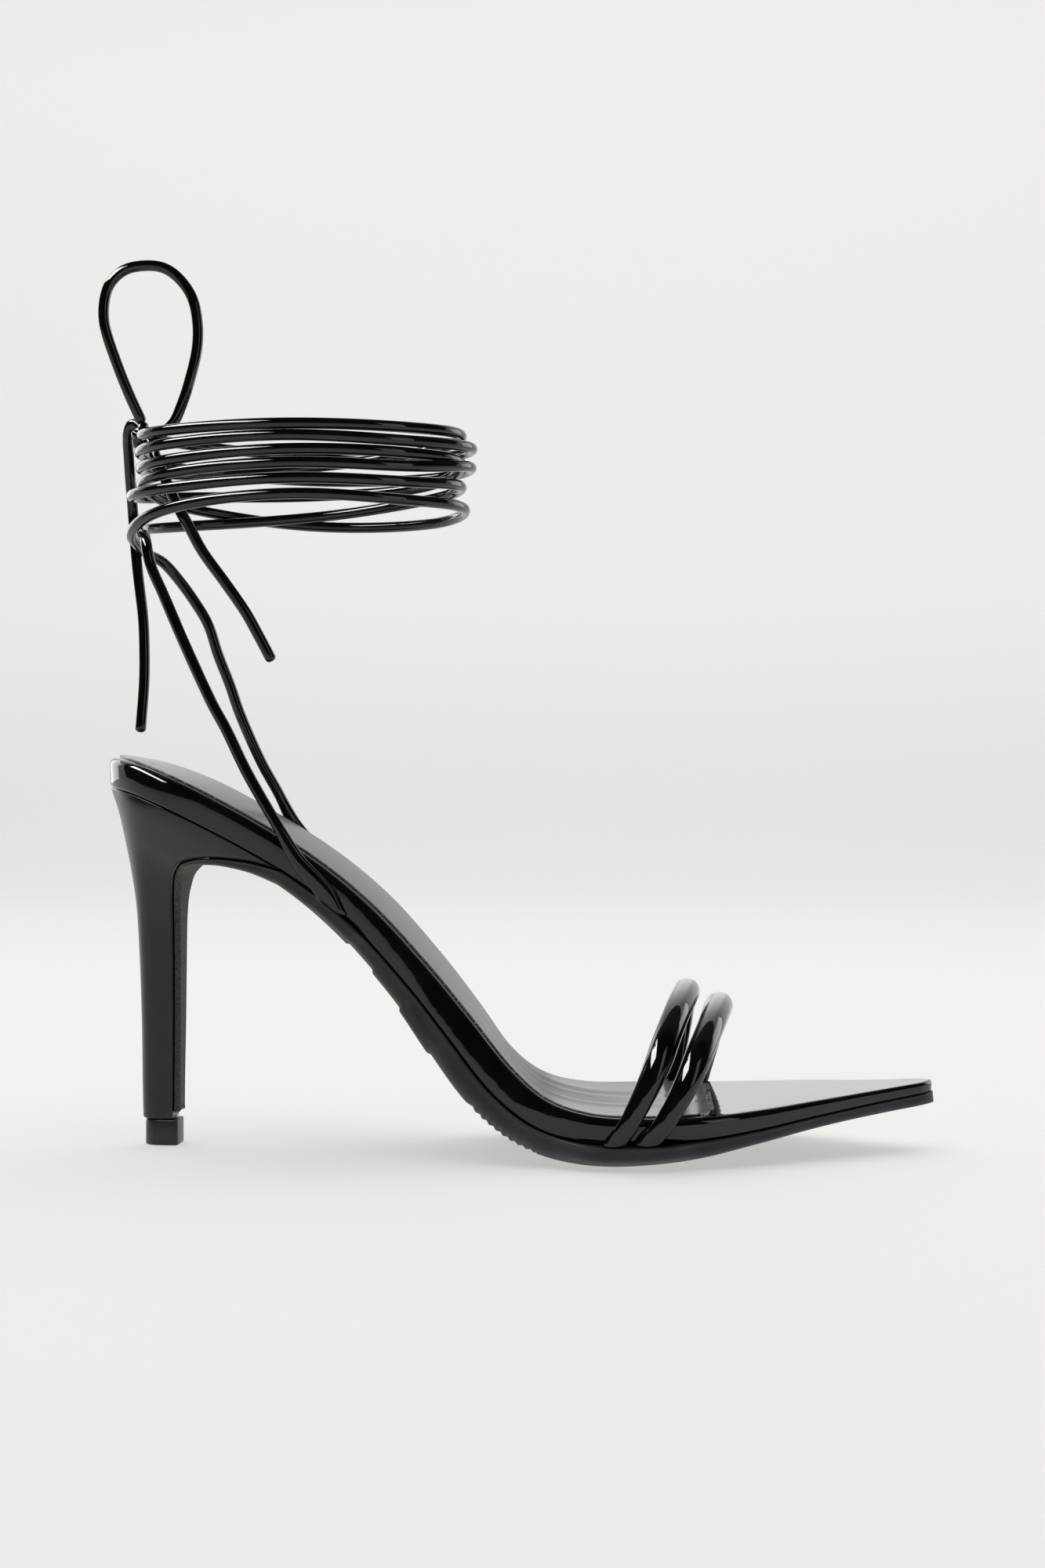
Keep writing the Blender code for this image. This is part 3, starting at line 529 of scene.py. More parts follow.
@dataclass(frozen=True)
class SoleRubber:
    """Matt blue-black rubber, with the rough olive flap under the heel's breast."""

    name: str = "sole_rubber"
    colour: Triple = (0.032, 0.031, 0.036)
    flap: Triple = (0.095, 0.093, 0.080)
    grain_depth: float = 0.00005
    rough_depth: float = 0.00022

    def make(self) -> bpy.types.Material:
        """Build the material.

        Returns:
            The material.
        """
        graph = Graph(self.name)
        _, run = graph.uv()
        flap = run.over(0.0, 1.0)
        grain, cloud = graph.noise(1900.0, 4.0), graph.noise(70.0, 4.0)
        rub = graph.speckle(cloud.over(0.35, 0.8), self.colour, 1.8)
        edge = graph.speckle(grain.over(0.35, 0.7), self.flap, 0.4)
        graph.shade(Base_Color=graph.mix(flap, rub, edge),
                    Roughness=grain * 0.2 + 0.36 + cloud * 0.12 + flap * 0.2, Specular_IOR_Level=0.22)
        relief = graph.bump(grain, self.grain_depth)
        graph.shade(Normal=graph.bump(graph.noise(750.0, 3.0) * (flap + 0.25), self.rough_depth, relief))
        return graph.material


@dataclass(frozen=True)
class LiftPlastic:
    """Satin black plastic of the top lift, with fine scuffs."""

    name: str = "lift_plastic"
    colour: Triple = (0.016, 0.015, 0.017)

    def make(self) -> bpy.types.Material:
        """Build the material.

        Returns:
            The material.
        """
        graph = Graph(self.name)
        scuff = graph.noise(600.0, 5.0, (1.0, 1.0, 0.2))
        graph.shade(Base_Color=graph.speckle(scuff.over(0.5, 0.8), self.colour, 2.0),
                    Roughness=scuff * 0.25 + 0.26, Normal=graph.bump(graph.noise(1400.0), 0.00003))
        return graph.material


@dataclass(frozen=True)
class StudioPaper:
    """Seamless paper that the shoe stands on."""

    name: str = "studio_paper"
    colour: Triple = (0.62, 0.613, 0.602)
    floor_glow: Triple = (0.49, 0.483, 0.474)
    wall_glow: Triple = (0.62, 0.611, 0.600)
    glow_height: float = 0.35

    def make(self) -> bpy.types.Material:
        """Build the material.

        Returns:
            The material.
        """
        graph = Graph(self.name)
        graph.shade(Base_Color=graph.speckle(graph.noise(3.0), self.colour, 0.99),
                    Roughness=graph.noise(8.0) * 0.05 + 0.85, Specular_IOR_Level=0.1,
                    Emission_Strength=1.0,
                    Emission_Color=graph.mix(graph.height().over(0.0, self.glow_height),
                                             self.floor_glow, self.wall_glow))
        return graph.material


@dataclass
class Piece:
    """A mesh in the making, in the shoe's own frame."""

    name: str
    vertices: list[Vector] = field(default_factory=list)
    faces: list[tuple[int, ...]] = field(default_factory=list)
    uvs: list[Pair] = field(default_factory=list)

    def add(self, other: "Piece") -> None:
        """Take in another piece's mesh.

        Args:
            other: The piece to take in.
        """
        start = len(self.vertices)
        self.vertices += other.vertices
        self.uvs += other.uvs
        self.faces += [tuple(start + k for k in face) for face in other.faces]

    def finish(self, material: bpy.types.Material, slot: str, *nodes: str) -> bpy.types.Object:
        """Make the object, dress it and hand it to the frame.

        Args:
            material: Its finish.
            slot: Not used.
            nodes: CAD nodes that it stands for.

        Returns:
            The object.
        """
        mesh = bpy.data.meshes.new(self.name)
        mesh.from_pydata([tuple(v + MIDDLE) for v in self.vertices], [], self.faces)
        mesh.validate()
        shell = bmesh.new()
        shell.from_mesh(mesh)
        bmesh.ops.recalc_face_normals(shell, faces=shell.faces)
        if self.uvs:
            layer = shell.loops.layers.uv.new("run")
            for face in shell.faces:
                for loop in face.loops:
                    loop[layer].uv = self.uvs[loop.vert.index]
        for face in shell.faces:
            face.smooth = True
        shell.to_mesh(mesh)
        shell.free()
        made = bpy.data.objects.new(self.name, mesh)
        mesh.materials.append(material)
        bpy.context.scene.collection.objects.link(made)
        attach(made, "root")
        if nodes:
            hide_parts(*nodes)
        LOG.info("%s: %d faces", self.name, len(mesh.polygons))
        return made


@dataclass
class Slab:
    """A closed slab lofted over rows, with layers from its upper to its lower face."""

    name: str
    rows: list[Pair]
    run: list[float]
    layers: list[list[Triple]]
    place: Callable[[int, float, float, float, float], Vector]
    columns: int = 17
    mark: Callable[[int], float] | None = None

    def _shares(self) -> list[float]:
        """Places across, from the outer edge at -1 to the inner edge at 1."""
        return [2 * k / (self.columns - 1) - 1 for k in range(self.columns)]

    def _loop(self) -> list[tuple[int, int]]:
        """Row and column of each border point, once round.

        Returns:
            The keys of the border, in order.
        """
        last, right = len(self.rows) - 1, self.columns - 1
        return ([(i, 0) for i in range(last + 1)] + [(last, j) for j in range(1, right + 1)]
                + [(i, right) for i in range(last - 1, -1, -1)] + [(0, j) for j in range(right - 1, 0, -1)])

    def build(self) -> Piece:
        """Build the mesh.

        Returns:
            The piece, with its uv holding the row's mark.
        """
        shares, loop = self._shares(), self._loop()
        grid = []
        for place, (outer, inner) in zip(self.run, self.rows):
            centre, half = (inner - outer) / 2, (inner + outer) / 2
            grid.append([(place, centre + half * share) for share in shares])
        spots = [grid[i][j] for i, j in loop]
        normals = []
        for k in range(len(spots)):
            before, after = spots[k - 1], spots[(k + 1) % len(spots)]
            along, across = after[0] - before[0], after[1] - before[1]
            size = max(hypot(along, across), 1e-9)
            normals.append((across / size, -along / size))
        piece = Piece(self.name)
        mark = self.mark or (lambda row: 0.0)
        rings: list[list[int]] = []
        plans: list[list[Pair]] = []
        for layer in self.layers:
            ring, plan = [], []
            for (i, j), (ahead, aside) in zip(loop, normals):
                outer, inner, rise = layer[i]
                inset = outer + (inner - outer) * (shares[j] + 1) / 2
                spot = grid[i][j]
                ring.append(len(piece.vertices))
                plan.append((spot[0] - ahead * inset, spot[1] - aside * inset))
                piece.vertices.append(self.place(i, *plan[-1], rise, shares[j]))
                piece.uvs.append((0.0, mark(i)))
            rings.append(ring)
            plans.append(plan)
        for end in (0, -1):
            self._cap(piece, loop, self.layers[end], rings[end], plans[end], mark)
        for upper, lower in zip(rings, rings[1:]):
            for k in range(len(upper)):
                after = (k + 1) % len(upper)
                piece.faces.append((upper[k], upper[after], lower[after], lower[k]))
        return piece

    def _cap(self, piece: Piece, loop: list, layer: list, ring: list[int],
             plan: list[Pair], mark: Callable[[int], float]) -> None:
        """Close a face of the slab with a grid between its inset border points.

        Args:
            piece: The piece to add to.
            loop: Row and column of each border point.
            layer: Insets and rise of each row.
            ring: Vertices of the border.
            plan: Inset place of each border point.
            mark: What the uv holds for a row.
        """
        index = {key: ring[k] for k, key in enumerate(loop)}
        border = {key: plan[k] for k, key in enumerate(loop)}
        shares = self._shares()
        last, right = len(self.rows) - 1, self.columns - 1
        for i in range(1, last):
            outer, inner = border[(i, 0)], border[(i, right)]
            for j in range(1, right):
                ahead, side = (a + (b - a) * j / right for a, b in zip(outer, inner))
                index[(i, j)] = len(piece.vertices)
                piece.vertices.append(self.place(i, ahead, side, layer[i][2], shares[j]))
                piece.uvs.append((0.0, mark(i)))
        piece.faces += [(index[(i, j)], index[(i + 1, j)], index[(i + 1, j + 1)], index[(i, j + 1)])
                        for i in range(last) for j in range(right)]


@dataclass
class Tube:
    """A swept oval tube, whose sections may be flattened and cut aslant."""

    name: str
    centres: list[Vector]
    outward: list[Vector]
    widths: list[float]
    depths: list[float]
    planes: list[Vector] | None = None
    sides: int = 20
    ends: Corner = Corner.FLAT
    cap_angles: Triple = (25, 50, 72)
    cap_bulge: float = 0.35
    least_cut: float = 0.3

    def runs(self) -> list[Vector]:
        """Unit direction of the path at each point.

        Returns:
            A direction for each centre.
        """
        last = len(self.centres) - 1
        return [(self.centres[min(k + 1, last)] - self.centres[max(k - 1, 0)]).normalized()
                for k in range(last + 1)]

    def build(self) -> Piece:
        """Build the mesh.

        Returns:
            The piece, with u round the tube and v along it in centimetres.
        """
        piece = Piece(self.name)
        runs = self.runs()
        planes = self.planes or runs
        away = 0.0
        rings = []
        last = len(self.centres) - 1
        stations = [(k, 0.0, 1.0) for k in range(last + 1)]
        if self.ends is Corner.ROUND:
            cap = [(sin(radians(a)), cos(radians(a))) for a in self.cap_angles]
            stations = [(0, -s, c) for s, c in reversed(cap)] + stations + [(last, s, c) for s, c in cap]
        for k, past, size in stations:
            centre = self.centres[k] + runs[k] * past * self.depths[k] * self.cap_bulge
            broad = planes[k].cross(self.outward[k]).normalized()
            thin = broad.cross(planes[k]).normalized()
            wide = broad * (size * self.widths[k] / 2 / max(runs[k].dot(planes[k]), self.least_cut))
            if k and past == 0.0:
                away += (self.centres[k] - self.centres[k - 1]).length
            rings.append(range(len(piece.vertices), len(piece.vertices) + self.sides))
            for j in range(self.sides):
                turn = 2 * pi * j / self.sides
                across = thin * sin(turn) * size * self.depths[k] / 2
                piece.vertices.append(centre + wide * cos(turn) + across)
                piece.uvs.append((abs(2 * ((j / self.sides + 0.25) % 1.0) - 1), away * 100))
        for low, high in zip(rings, rings[1:]):
            for j in range(self.sides):
                after = (j + 1) % self.sides
                piece.faces.append((low[j], low[after], high[after], high[j]))
        piece.faces += [tuple(reversed(rings[0])), tuple(rings[-1])]
        return piece


@dataclass
class Footbed:
    """Footbed board wrapped in patent, with its grey sock lining."""

    last: Last
    undercut: float = 0.00022
    sock_front: float = 0.742
    sock_inset: float = 0.0027
    sock_thickness: float = 0.0005
    tooth: float = 0.0017
    tooth_depth: float = 0.0008
    tooth_run: float = 0.006
    corner_from: float = 0.72
    sock_lift: float = 0.00005
    creases: tuple[tuple[float, float, float, float, float], ...] = (
        # along, side (mm), half length (mm), width (mm), height (mm)
        (0.545, -15.0, 16.0, 3.2, 0.55),
        (0.585, -6.0, 20.0, 3.6, -0.45),
        (0.560, 3.0, 18.0, 3.4, 0.60),
        (0.610, 10.0, 16.0, 3.8, -0.40),
        (0.540, 14.0, 14.0, 3.4, 0.45),
        (0.640, -12.0, 13.0, 3.0, 0.35),
        (0.052, -9.0, 6.0, 2.4, -0.20),
    )

    def _stations(self, stop: float) -> list[float]:
        """Stations from the heel's back, close together round its end and at the ball.

        Args:
            stop: The last station.

        Returns:
            Rising stations.
        """
        heel = [HEEL_ARC / LENGTH * (1 - cos(pi / 2 * (k + 0.15) / 16)) for k in range(16)]
        body = even(HEEL_ARC / LENGTH, 0.42, 40) + even(0.42, 0.62, 48)
        if stop < 1.0:
            return heel + body + even(0.62, stop - 0.006, 22) + even(stop - 0.006, stop, 6) + [stop]
        return heel + body + even(0.62, 1 - TOE_ARC / LENGTH, 50) + toe_stations()

    def _crease(self, along: float, side: float) -> float:
        """Height of the lining's creases at this spot.

        Args:
            along: Station, 0 at the heel's back and 1 at the toe.
            side: Distance from the middle plane, outer side negative.

        Returns:
            The height, below 0 in a hollow.
        """
        rise = 0.0
        for place, middle, reach, width, height in self.creases:
            ahead = (along - place) * LENGTH / MM
            off = side / MM - middle - 0.12 * ahead + sin(0.18 * ahead + 40 * place)
            rise += height * MM * bell(off, width) * bell(ahead, reach)
        return rise

    def wrap(self) -> Piece:
        """Patent wrap: a round upper edge, a straight side and a small lower bevel.

        Returns:
            The piece.
        """
        stations = self._stations(1.0)
        edges = [FOOTBED_EDGE * self.last.read(s, "footbed") for s in stations]
        depths = [self.last.footbed(s) for s in stations]
        layers = []
        for angle in (0, 12, 25, 38, 52, 66, 80, 90):
            inset, fall = 1 - sin(radians(angle)), 1 - cos(radians(angle))
            layers.append([(edge * inset, edge * inset, -edge * fall) for edge in edges])
        for inset, share in ((0.0, 1.0), (0.25, 0.35), (1.0, 0.0)):
            reaches = [edge * LOWER_BEVEL * inset + self.undercut for edge in edges]
            layers.append([(reach, reach, edge * LOWER_BEVEL * share - depth)
                           for reach, edge, depth in zip(reaches, edges, depths)])

        def place(i: int, ahead: float, side: float, rise: float, share: float) -> Vector:
            """Put a point on the last, crowned on its top face only."""
            return (self.last.dressed if rise == 0.0 else self.last.spot)(held(ahead / LENGTH), side, rise)

        rows = [self.last.half_widths(s) for s in stations]
        return Slab("footbed_wrap", rows, [s * LENGTH for s in stations], layers, place, 25).build()

    def sock(self) -> Piece:
        """Thin lining over the top, creased at the ball, with a pinked front edge.

        Returns:
            The piece.
        """
        stations = self._stations(self.sock_front)
        rows = [self.last.half_widths(s) for s in stations]
        front = self.sock_front * LENGTH
        layers = []
        for more, rise in ((0.35, 1.0), (0.12, 0.86), (0.0, 0.55), (0.0, -0.4)):
            inset = self.sock_inset + more * self.sock_thickness * 2
            layers.append([(inset, inset, rise * self.sock_thickness)] * len(stations))

        def place(i: int, ahead: float, side: float, rise: float, share: float) -> Vector:
            """Put a point on the crowned top, with the pinked teeth at the front.

            Args:
                i: The row.
                ahead: Place along the run.
                side: Distance from the middle plane, outer side negative.
                rise: Height over the row.
                share: Place across, -1 outer to 1 inner.

            Returns:
                The point.
            """
            if ahead > front - self.tooth_run:
                bite = abs((side / self.tooth) % 2.0 - 1.0) * self.tooth_depth
                past = max(0.0, abs(share) - self.corner_from) / (1 - self.corner_from)
                ahead -= (bite + self.tooth_run * past * past) * (1 - (front - ahead) / self.tooth_run)
            along = held(ahead / LENGTH)
            lift = self._crease(along, side) if rise > 0.0 else 0.0
            return self.last.dressed(along, side, rise + lift + self.sock_lift)

        return Slab("sock_lining", rows, [s * LENGTH for s in stations], layers, place, 97).build()

    def make(self, patent: bpy.types.Material, leather: bpy.types.Material) -> None:
        """Build and dress both pieces."""
        self.wrap().finish(patent, "footbed", "footbed")
        self.sock().finish(leather, "footbed")


@dataclass(frozen=True)
class HeelRow:
    """One level of the heel, from its tip up to the seat."""

    back: float
    back_high: float
    front: float
    front_high: float
    half: float
    seat: float


HEEL_ROWS = tuple(HeelRow(*row) for row in (
    (0.0402, 0.070, 0.0787, 0.070, 0.46, 0.00),
    (0.0388, 0.081, 0.0792, 0.081, 0.50, 0.00),
    (0.0380, 0.160, 0.0795, 0.160, 0.52, 0.00),
    (0.0370, 0.320, 0.0806, 0.320, 0.58, 0.00),
    (0.0345, 0.480, 0.0812, 0.470, 0.66, 0.00),
    (0.0310, 0.610, 0.0820, 0.590, 0.80, 0.00),
    (0.0254, 0.705, 0.0850, 0.655, 1.00, 0.06),
    (0.0206, 0.770, 0.0925, 0.698, 1.20, 0.18),
    (0.0168, 0.822, 0.1100, 0.722, 1.45, 0.36),
    (0.0126, 0.866, 0.1500, 0.727, 1.75, 0.60),
    (0.0084, 0.900, 0.1980, 0.712, 2.10, 0.84),
    (0.0055, 0.925, 0.2420, 0.684, 2.40, 1.00),
))


@dataclass
class Heel:
    """Slim covered heel and its top lift."""

    last: Last
    width: float = 0.0092
    inset: float = 0.0012
    seat_front: float = 0.242
    corner: float = 0.82
    corner_from: float = 0.96
    seat_pull: int = 4
    rings: int = 76
    lift_height: float = 0.0069
    lift_length: float = 0.0095
    lift_setback: float = 0.0004
    shares: tuple[float, ...] = (0.0, 0.008, 0.02, 0.035, 0.06, 0.09, 0.13, 0.18, 0.23, 0.28, 0.36, 0.45,
                                 0.54, 0.64, 0.74, 0.84, 0.91, 0.96, 0.985, 1.0)

    def read(self, level: float, column: str) -> float:
        """Read the heel's table, level 0 at the tip and 1 at the seat.

        Args:
            level: Level of the heel, 0 at the tip and 1 at the seat.
            column: Name of a column.

        Returns:
            The smoothed value.
        """
        last = len(HEEL_ROWS) - 1
        keys = [k / last for k in range(last + 1)]
        return smooth_read(keys, [getattr(row, column) for row in HEEL_ROWS], level)

    def height(self, high: float) -> float:
        """Height in the table, from one gap above the top lift up to the seat."""
        tip, lowest = self.lift_height + GAP, HEEL_ROWS[0].back_high
        return tip + (SEAT_HEIGHT - tip) * (high - lowest) / (1.0 - lowest)

    def seat(self, share: float) -> tuple[Vector, float]:
        """Point on the seat under the footbed, and its station.

        Args:
            share: Share of the way from the back to the front.

        Returns:
            The point and its station.
        """
        start = self.inset / LENGTH
        along = start + (self.seat_front - start) * share
        return self.last.under(along, GAP), along

    def ends(self, level: float) -> tuple[Vector, Vector]:
        """Back and front points at this level.

        Args:
            level: Level of the heel, 0 at the tip and 1 at the seat.

        Returns:
            The back point and the front point.
        """
        spots = []
        for side, share in (("back", 0.0), ("front", 1.0)):
            spot, top = (Vector((self.read(at, side) * LENGTH, 0, self.height(self.read(at, side + "_high"))))
                         for at in (level, 1.0))
            spots.append(spot + (self.seat(share)[0] - top) * level ** self.seat_pull)
        return spots[0], spots[1]

    def round(self, share: float) -> float:
        """Half width of a section, round at the back and square at the front.

        Args:
            share: Share of the way from the back to the front.

        Returns:
            The share of the full half width.
        """
        if share < 0.5:
            return sqrt(1 - (1 - share / 0.5) ** 2)
        past = held((share - self.corner_from) / (1 - self.corner_from))
        return self.corner + (1 - self.corner) * sqrt(1 - past * past)

    def ring(self, level: float) -> list[Vector]:
        """One ring: the back point, the outer side to the front, then the inner side back.

        Args:
            level: Level of the heel, 0 at the tip and 1 at the seat.

        Returns:
            Points once round.
        """
        back, front = self.ends(level)
        blend, half = self.read(level, "seat"), self.width * self.read(level, "half")
        start, stop = self.seat(0.0)[0], self.seat(1.0)[0]
        sides = []
        for share in self.shares:
            spot, along = self.seat(share)
            middle = back.lerp(front, share) + (spot - start.lerp(stop, share)) * level ** self.seat_pull
            own = half * self.round(share) * (1 - blend)
            outer, inner = self.last.half_widths(along)
            sides.append((middle, 0.0 if share == 0.0 else max(own + (outer - self.inset) * blend, 0.0),
                          0.0 if share == 0.0 else max(own + (inner - self.inset) * blend, 0.0)))
        return ([m - Vector((0, outer, 0)) for m, outer, _ in sides]
                + [m + Vector((0, inner, 0)) for m, _, inner in reversed(sides[1:])])

    def _strips(self, start: int) -> list[tuple[int, ...]]:
        """Faces across a ring, pairing its outer and inner points.

        Args:
            start: First vertex of the ring.

        Returns:
            A triangle, then quads.
        """
        count = len(self.shares)
        size = 2 * count - 1
        return [(start, start + 1, start + size - 1)] + [
            (start + k, start + k + 1, start + size - k - 1, start + size - k) for k in range(1, count - 1)]

    def _loft(self, name: str, rings: list[list[Vector]]) -> Piece:
        """Loft rings of equal size into a closed piece.

        Args:
            name: Name of the piece.
            rings: Rings of points.

        Returns:
            The closed piece.
        """
        piece = Piece(name)
        size = len(rings[0])
        for ring in rings:
            piece.vertices += ring
        piece.faces = self._strips(0) + self._strips((len(rings) - 1) * size)
        for k in range(len(rings) - 1):
            low, high = k * size, (k + 1) * size
            for j in range(size):
                after = (j + 1) % size
                piece.faces.append((low + j, low + after, high + after, high + j))
        return piece

    def block(self) -> Piece:
        """The covered heel from its tip to the seat.

        Returns:
            The piece.
        """
        levels = [0.0, 0.004] + [k / self.rings for k in range(1, self.rings + 1)]
        rings = [self.ring(level) for level in levels]
        middle = sum(rings[0], Vector()) / len(rings[0])
        rings[0] = [p.lerp(middle, 0.07) for p in rings[0]]
        return self._loft("heel_cover", rings)

    def lift(self) -> Piece:
        """The top lift with soft edges, a hair narrower than the tip.

        Returns:
            The piece.
        """
        start = self.ends(0.0)[0].x + self.lift_setback
        half = self.width * HEEL_ROWS[0].half
        top = self.lift_height
        rings = []
        for height, inset in ((0.0, 0.00035), (0.0001, 0.0001), (0.0003, 0.0), (top - 0.0004, 0.0),
                              (top - 0.0001, 0.0001), (top, 0.0004)):
            outline = [(start + inset + (self.lift_length - 2 * inset) * s, (half - inset) * self.round(s))
                       for s in self.shares]
            rings.append([Vector((x, -y, height)) for x, y in outline]
                         + [Vector((x, y, height)) for x, y in reversed(outline[1:])])
        return self._loft("lift_block", rings)

    def make(self, patent: bpy.types.Material, plastic: bpy.types.Material) -> None:
        """Build and dress both pieces."""
        self.block().finish(patent, "heel", "heel")
        self.lift().finish(plastic, "top_lift", "top_lift")


@dataclass(frozen=True)
class SoleRow:
    """One row of the sole: its place, its up direction and its sizes."""

    point: Vector
    up: Vector
    outer: float
    inner: float
    ledges: Pair
    slant: float
    depth: float
    bottom: float
    flap: float
    patch: float = 0.0


@dataclass
class Outsole:
    """Rubber sole with its bead, ribs, recess and plain pad, and the flap down the heel's breast."""

    last: Last
    heel: Heel
    ribs: int = 9
    rib_pitch: float = 0.00125
    rib_depth: float = 0.0005
    rib_start: float = 0.490
    recess: Pair = (0.341, 0.373)
    pad: Pair = (0.409, 0.446)
    step: float = 0.0006
    step_run: float = 0.0003
    patch_rise: float = 0.0006
    patch_from: float = 0.40
    patch_to: float = 0.95
    ledge_size: float = 0.0030
    flap_thickness: float = 0.0015
    flap_blend: float = 0.72
    flap_rough: Pair = (0.86, 0.12)
    flap_runs: tuple[tuple[float, float, int], ...] = (
        (0.985, 0.685, 26), (0.675, 0.48, 18), (0.465, 0.10, 24))
    profile: tuple[Triple, ...] = (
        # inset, drop and share of the tread's relief
        (0.14, 0.00, 0.0), (0.05, 0.00, 0.0), (0.018, 0.02, 0.0), (0.002, 0.055, 0.0), (0.002, 0.11, 0.0),
        (0.018, 0.145, 0.0), (0.046, 0.165, 0.0), (0.054, 0.20, 0.0), (0.056, 0.32, 0.0), (0.066, 0.45, 0.0),
        (0.09, 0.55, 0.1), (0.15, 0.66, 0.5), (0.28, 0.78, 1.0), (0.50, 0.90, 1.0), (0.75, 0.97, 1.0),
        (1.00, 1.00, 1.0))
    strap_roots: tuple[Pair, ...] = ((0.613, 0.652), (0.684, 0.718))
    strap_spread: float = 0.75
    tie_roots: Pair = (0.320, 0.264)
    tie_spread: float = 0.018
    tie_ledge: float = 0.0021

    def _ledge(self, along: float, side: int) -> float:
        """Extra width under the strap and tie roots of the outer (0) or inner (1) side.

        Args:
            along: Station, 0 at the heel's back and 1 at the toe.
            side: 0 for the outer side, 1 for the inner one.

        Returns:
            The width to add.
        """
        rear, front = self.strap_roots[side]
        spread = (front - rear) / 2 + self.strap_spread * STRAP_DIAMETER / LENGTH
        ledges = (((rear + front) / 2, spread, self.ledge_size),
                  (self.tie_roots[side], self.tie_spread, self.tie_ledge))
        return max(size * eased(2.0 - abs(along - middle) / reach) for middle, reach, size in ledges)

    def _tread(self, along: float) -> float:
        """Change of the sole's depth by its ribs, recess and pad.

        Args:
            along: Station, 0 at the heel's back and 1 at the toe.

        Returns:
            The depth to add.
        """
        inside = (along - self.rib_start) / (self.ribs * self.rib_pitch / LENGTH)
        if 0.0 <= inside <= 1.0:
            phase = inside * self.ribs
            return -self.rib_depth * abs(2 * (phase - int(phase)) - 1)
        if self.recess[0] < along < self.recess[1]:
            return -self.step
        return self.step if self.pad[0] < along < self.pad[1] else 0.0

    def _stations(self) -> list[float]:
        """Stations of the fore part, from the toe back to the heel's lip.

        Returns:
            Falling stations.
        """
        stop = self.rib_start + self.ribs * self.rib_pitch / LENGTH
        edge = self.step_run / LENGTH
        marks = (*self.recess, *self.pad)
        waist = [s for s in even(self.heel.seat_front + 0.006, self.rib_start, 52)
                 if all(abs(s - mark) > 2 * edge for mark in marks)]
        steps = [mark + shift for mark in marks for shift in (-edge, edge)]
        return sorted(toe_stations() + even(stop, 1 - TOE_ARC / LENGTH, 70) + waist + steps
                      + even(self.rib_start, stop, 4 * self.ribs), reverse=True)

    def _fore_rows(self) -> list[SoleRow]:
        """Rows under the footbed.

        Returns:
            Rows from the toe back.
        """
        rows = []
        for along in self._stations():
            depth = SOLE_THICKNESS * self.last.read(along, "sole")
            rows.append(SoleRow(self.last.under(along, GAP), self.last.up(along),
                                *self.last.half_widths(along), (self._ledge(along, 0), self._ledge(along, 1)),
                                self.last.read(along, "slant"), depth, depth + self._tread(along), 0.0,
                                float(self.pad[0] < along < self.pad[1])))
        return rows

    def _flap_rows(self) -> list[SoleRow]:
        """Rows down the heel's breast.

        Returns:
            Rows from the seat down.
        """
        rows = []
        rough_from, rough_run = self.flap_rough
        fore = SOLE_THICKNESS * self.last.read(self.heel.seat_front, "sole")
        middle = len(self.heel.shares)
        for first, last, count in self.flap_runs:
            for k in range(count):
                level = first + (last - first) * k / (count - 1)
                here, above, below = (self.heel.ends(at)[1]
                                      for at in (level, min(level + 0.01, 1.0), level - 0.01))
                run = (below - above).normalized()
                up = Vector((run.z, 0.0, -run.x))
                seat, ring = self.heel.read(level, "seat"), self.heel.ring(level)
                thicken = max(0.0, (level - self.flap_blend) / (1.0 - self.flap_blend)) ** 1.5
                depth = self.flap_thickness + (fore - self.flap_thickness) * thicken
                rows.append(SoleRow(here - up * GAP, up, self.heel.inset * seat - ring[middle - 1].y,
                                    ring[middle].y + self.heel.inset * seat, (0.0, 0.0), 0.0, depth, depth,
                                    held((rough_from - level) / rough_run)))
        return rows

    def make(self, rubber: bpy.types.Material) -> None:
        """Build and dress the sole.

        Args:
            rubber: Its finish.
        """
        sole = self._fore_rows() + self._flap_rows()
        run = [0.0]
        for before, after in zip(sole, sole[1:]):
            run.append(run[-1] + (after.point - before.point).length)
        layers = []
        for inset, drop, relief in self.profile:
            layer = []
            for row in sole:
                reach = inset * SOLE_EDGE * (row.outer + row.inner) / BALL_WIDTH
                raised = self.patch_rise * row.patch if self.patch_from < drop < self.patch_to else 0.0
                outer, inner = (reach - raised - wide * (1.0 - relief) for wide in row.ledges)
                layer.append((outer, inner, -drop * row.depth - relief * (row.bottom - row.depth)))
            layers.append(layer)

        def place(i: int, ahead: float, side: float, rise: float, share: float) -> Vector:
            """Put a point on its row, never under the floor.

            Args:
                i: The row.
                ahead: Place along the run.
                side: Distance from the middle plane, outer side negative.
                rise: Height over the row.
                share: Place across, -1 outer to 1 inner.

            Returns:
                The point.
            """
            row = sole[i]
            forward = Vector((-row.up.z, 0.0, row.up.x))
            spot = (row.point + forward * (ahead - run[i]) + row.up * rise
                    + Vector((-row.slant * side, side, 0.0)))
            spot.z = max(spot.z, 0.0)
            return spot

        rows = [(row.outer, row.inner) for row in sole]
        Slab("rubber_sole", rows, run, layers, place, 21, lambda i: sole[i].flap).build().finish(
            rubber, "outsole", "outsole")


@dataclass(frozen=True)
class StrapRow:
    """Where one toe strap roots and crowns."""

    name: str
    node: str
    outer: float
    inner: float
    crown: float
    rise: float


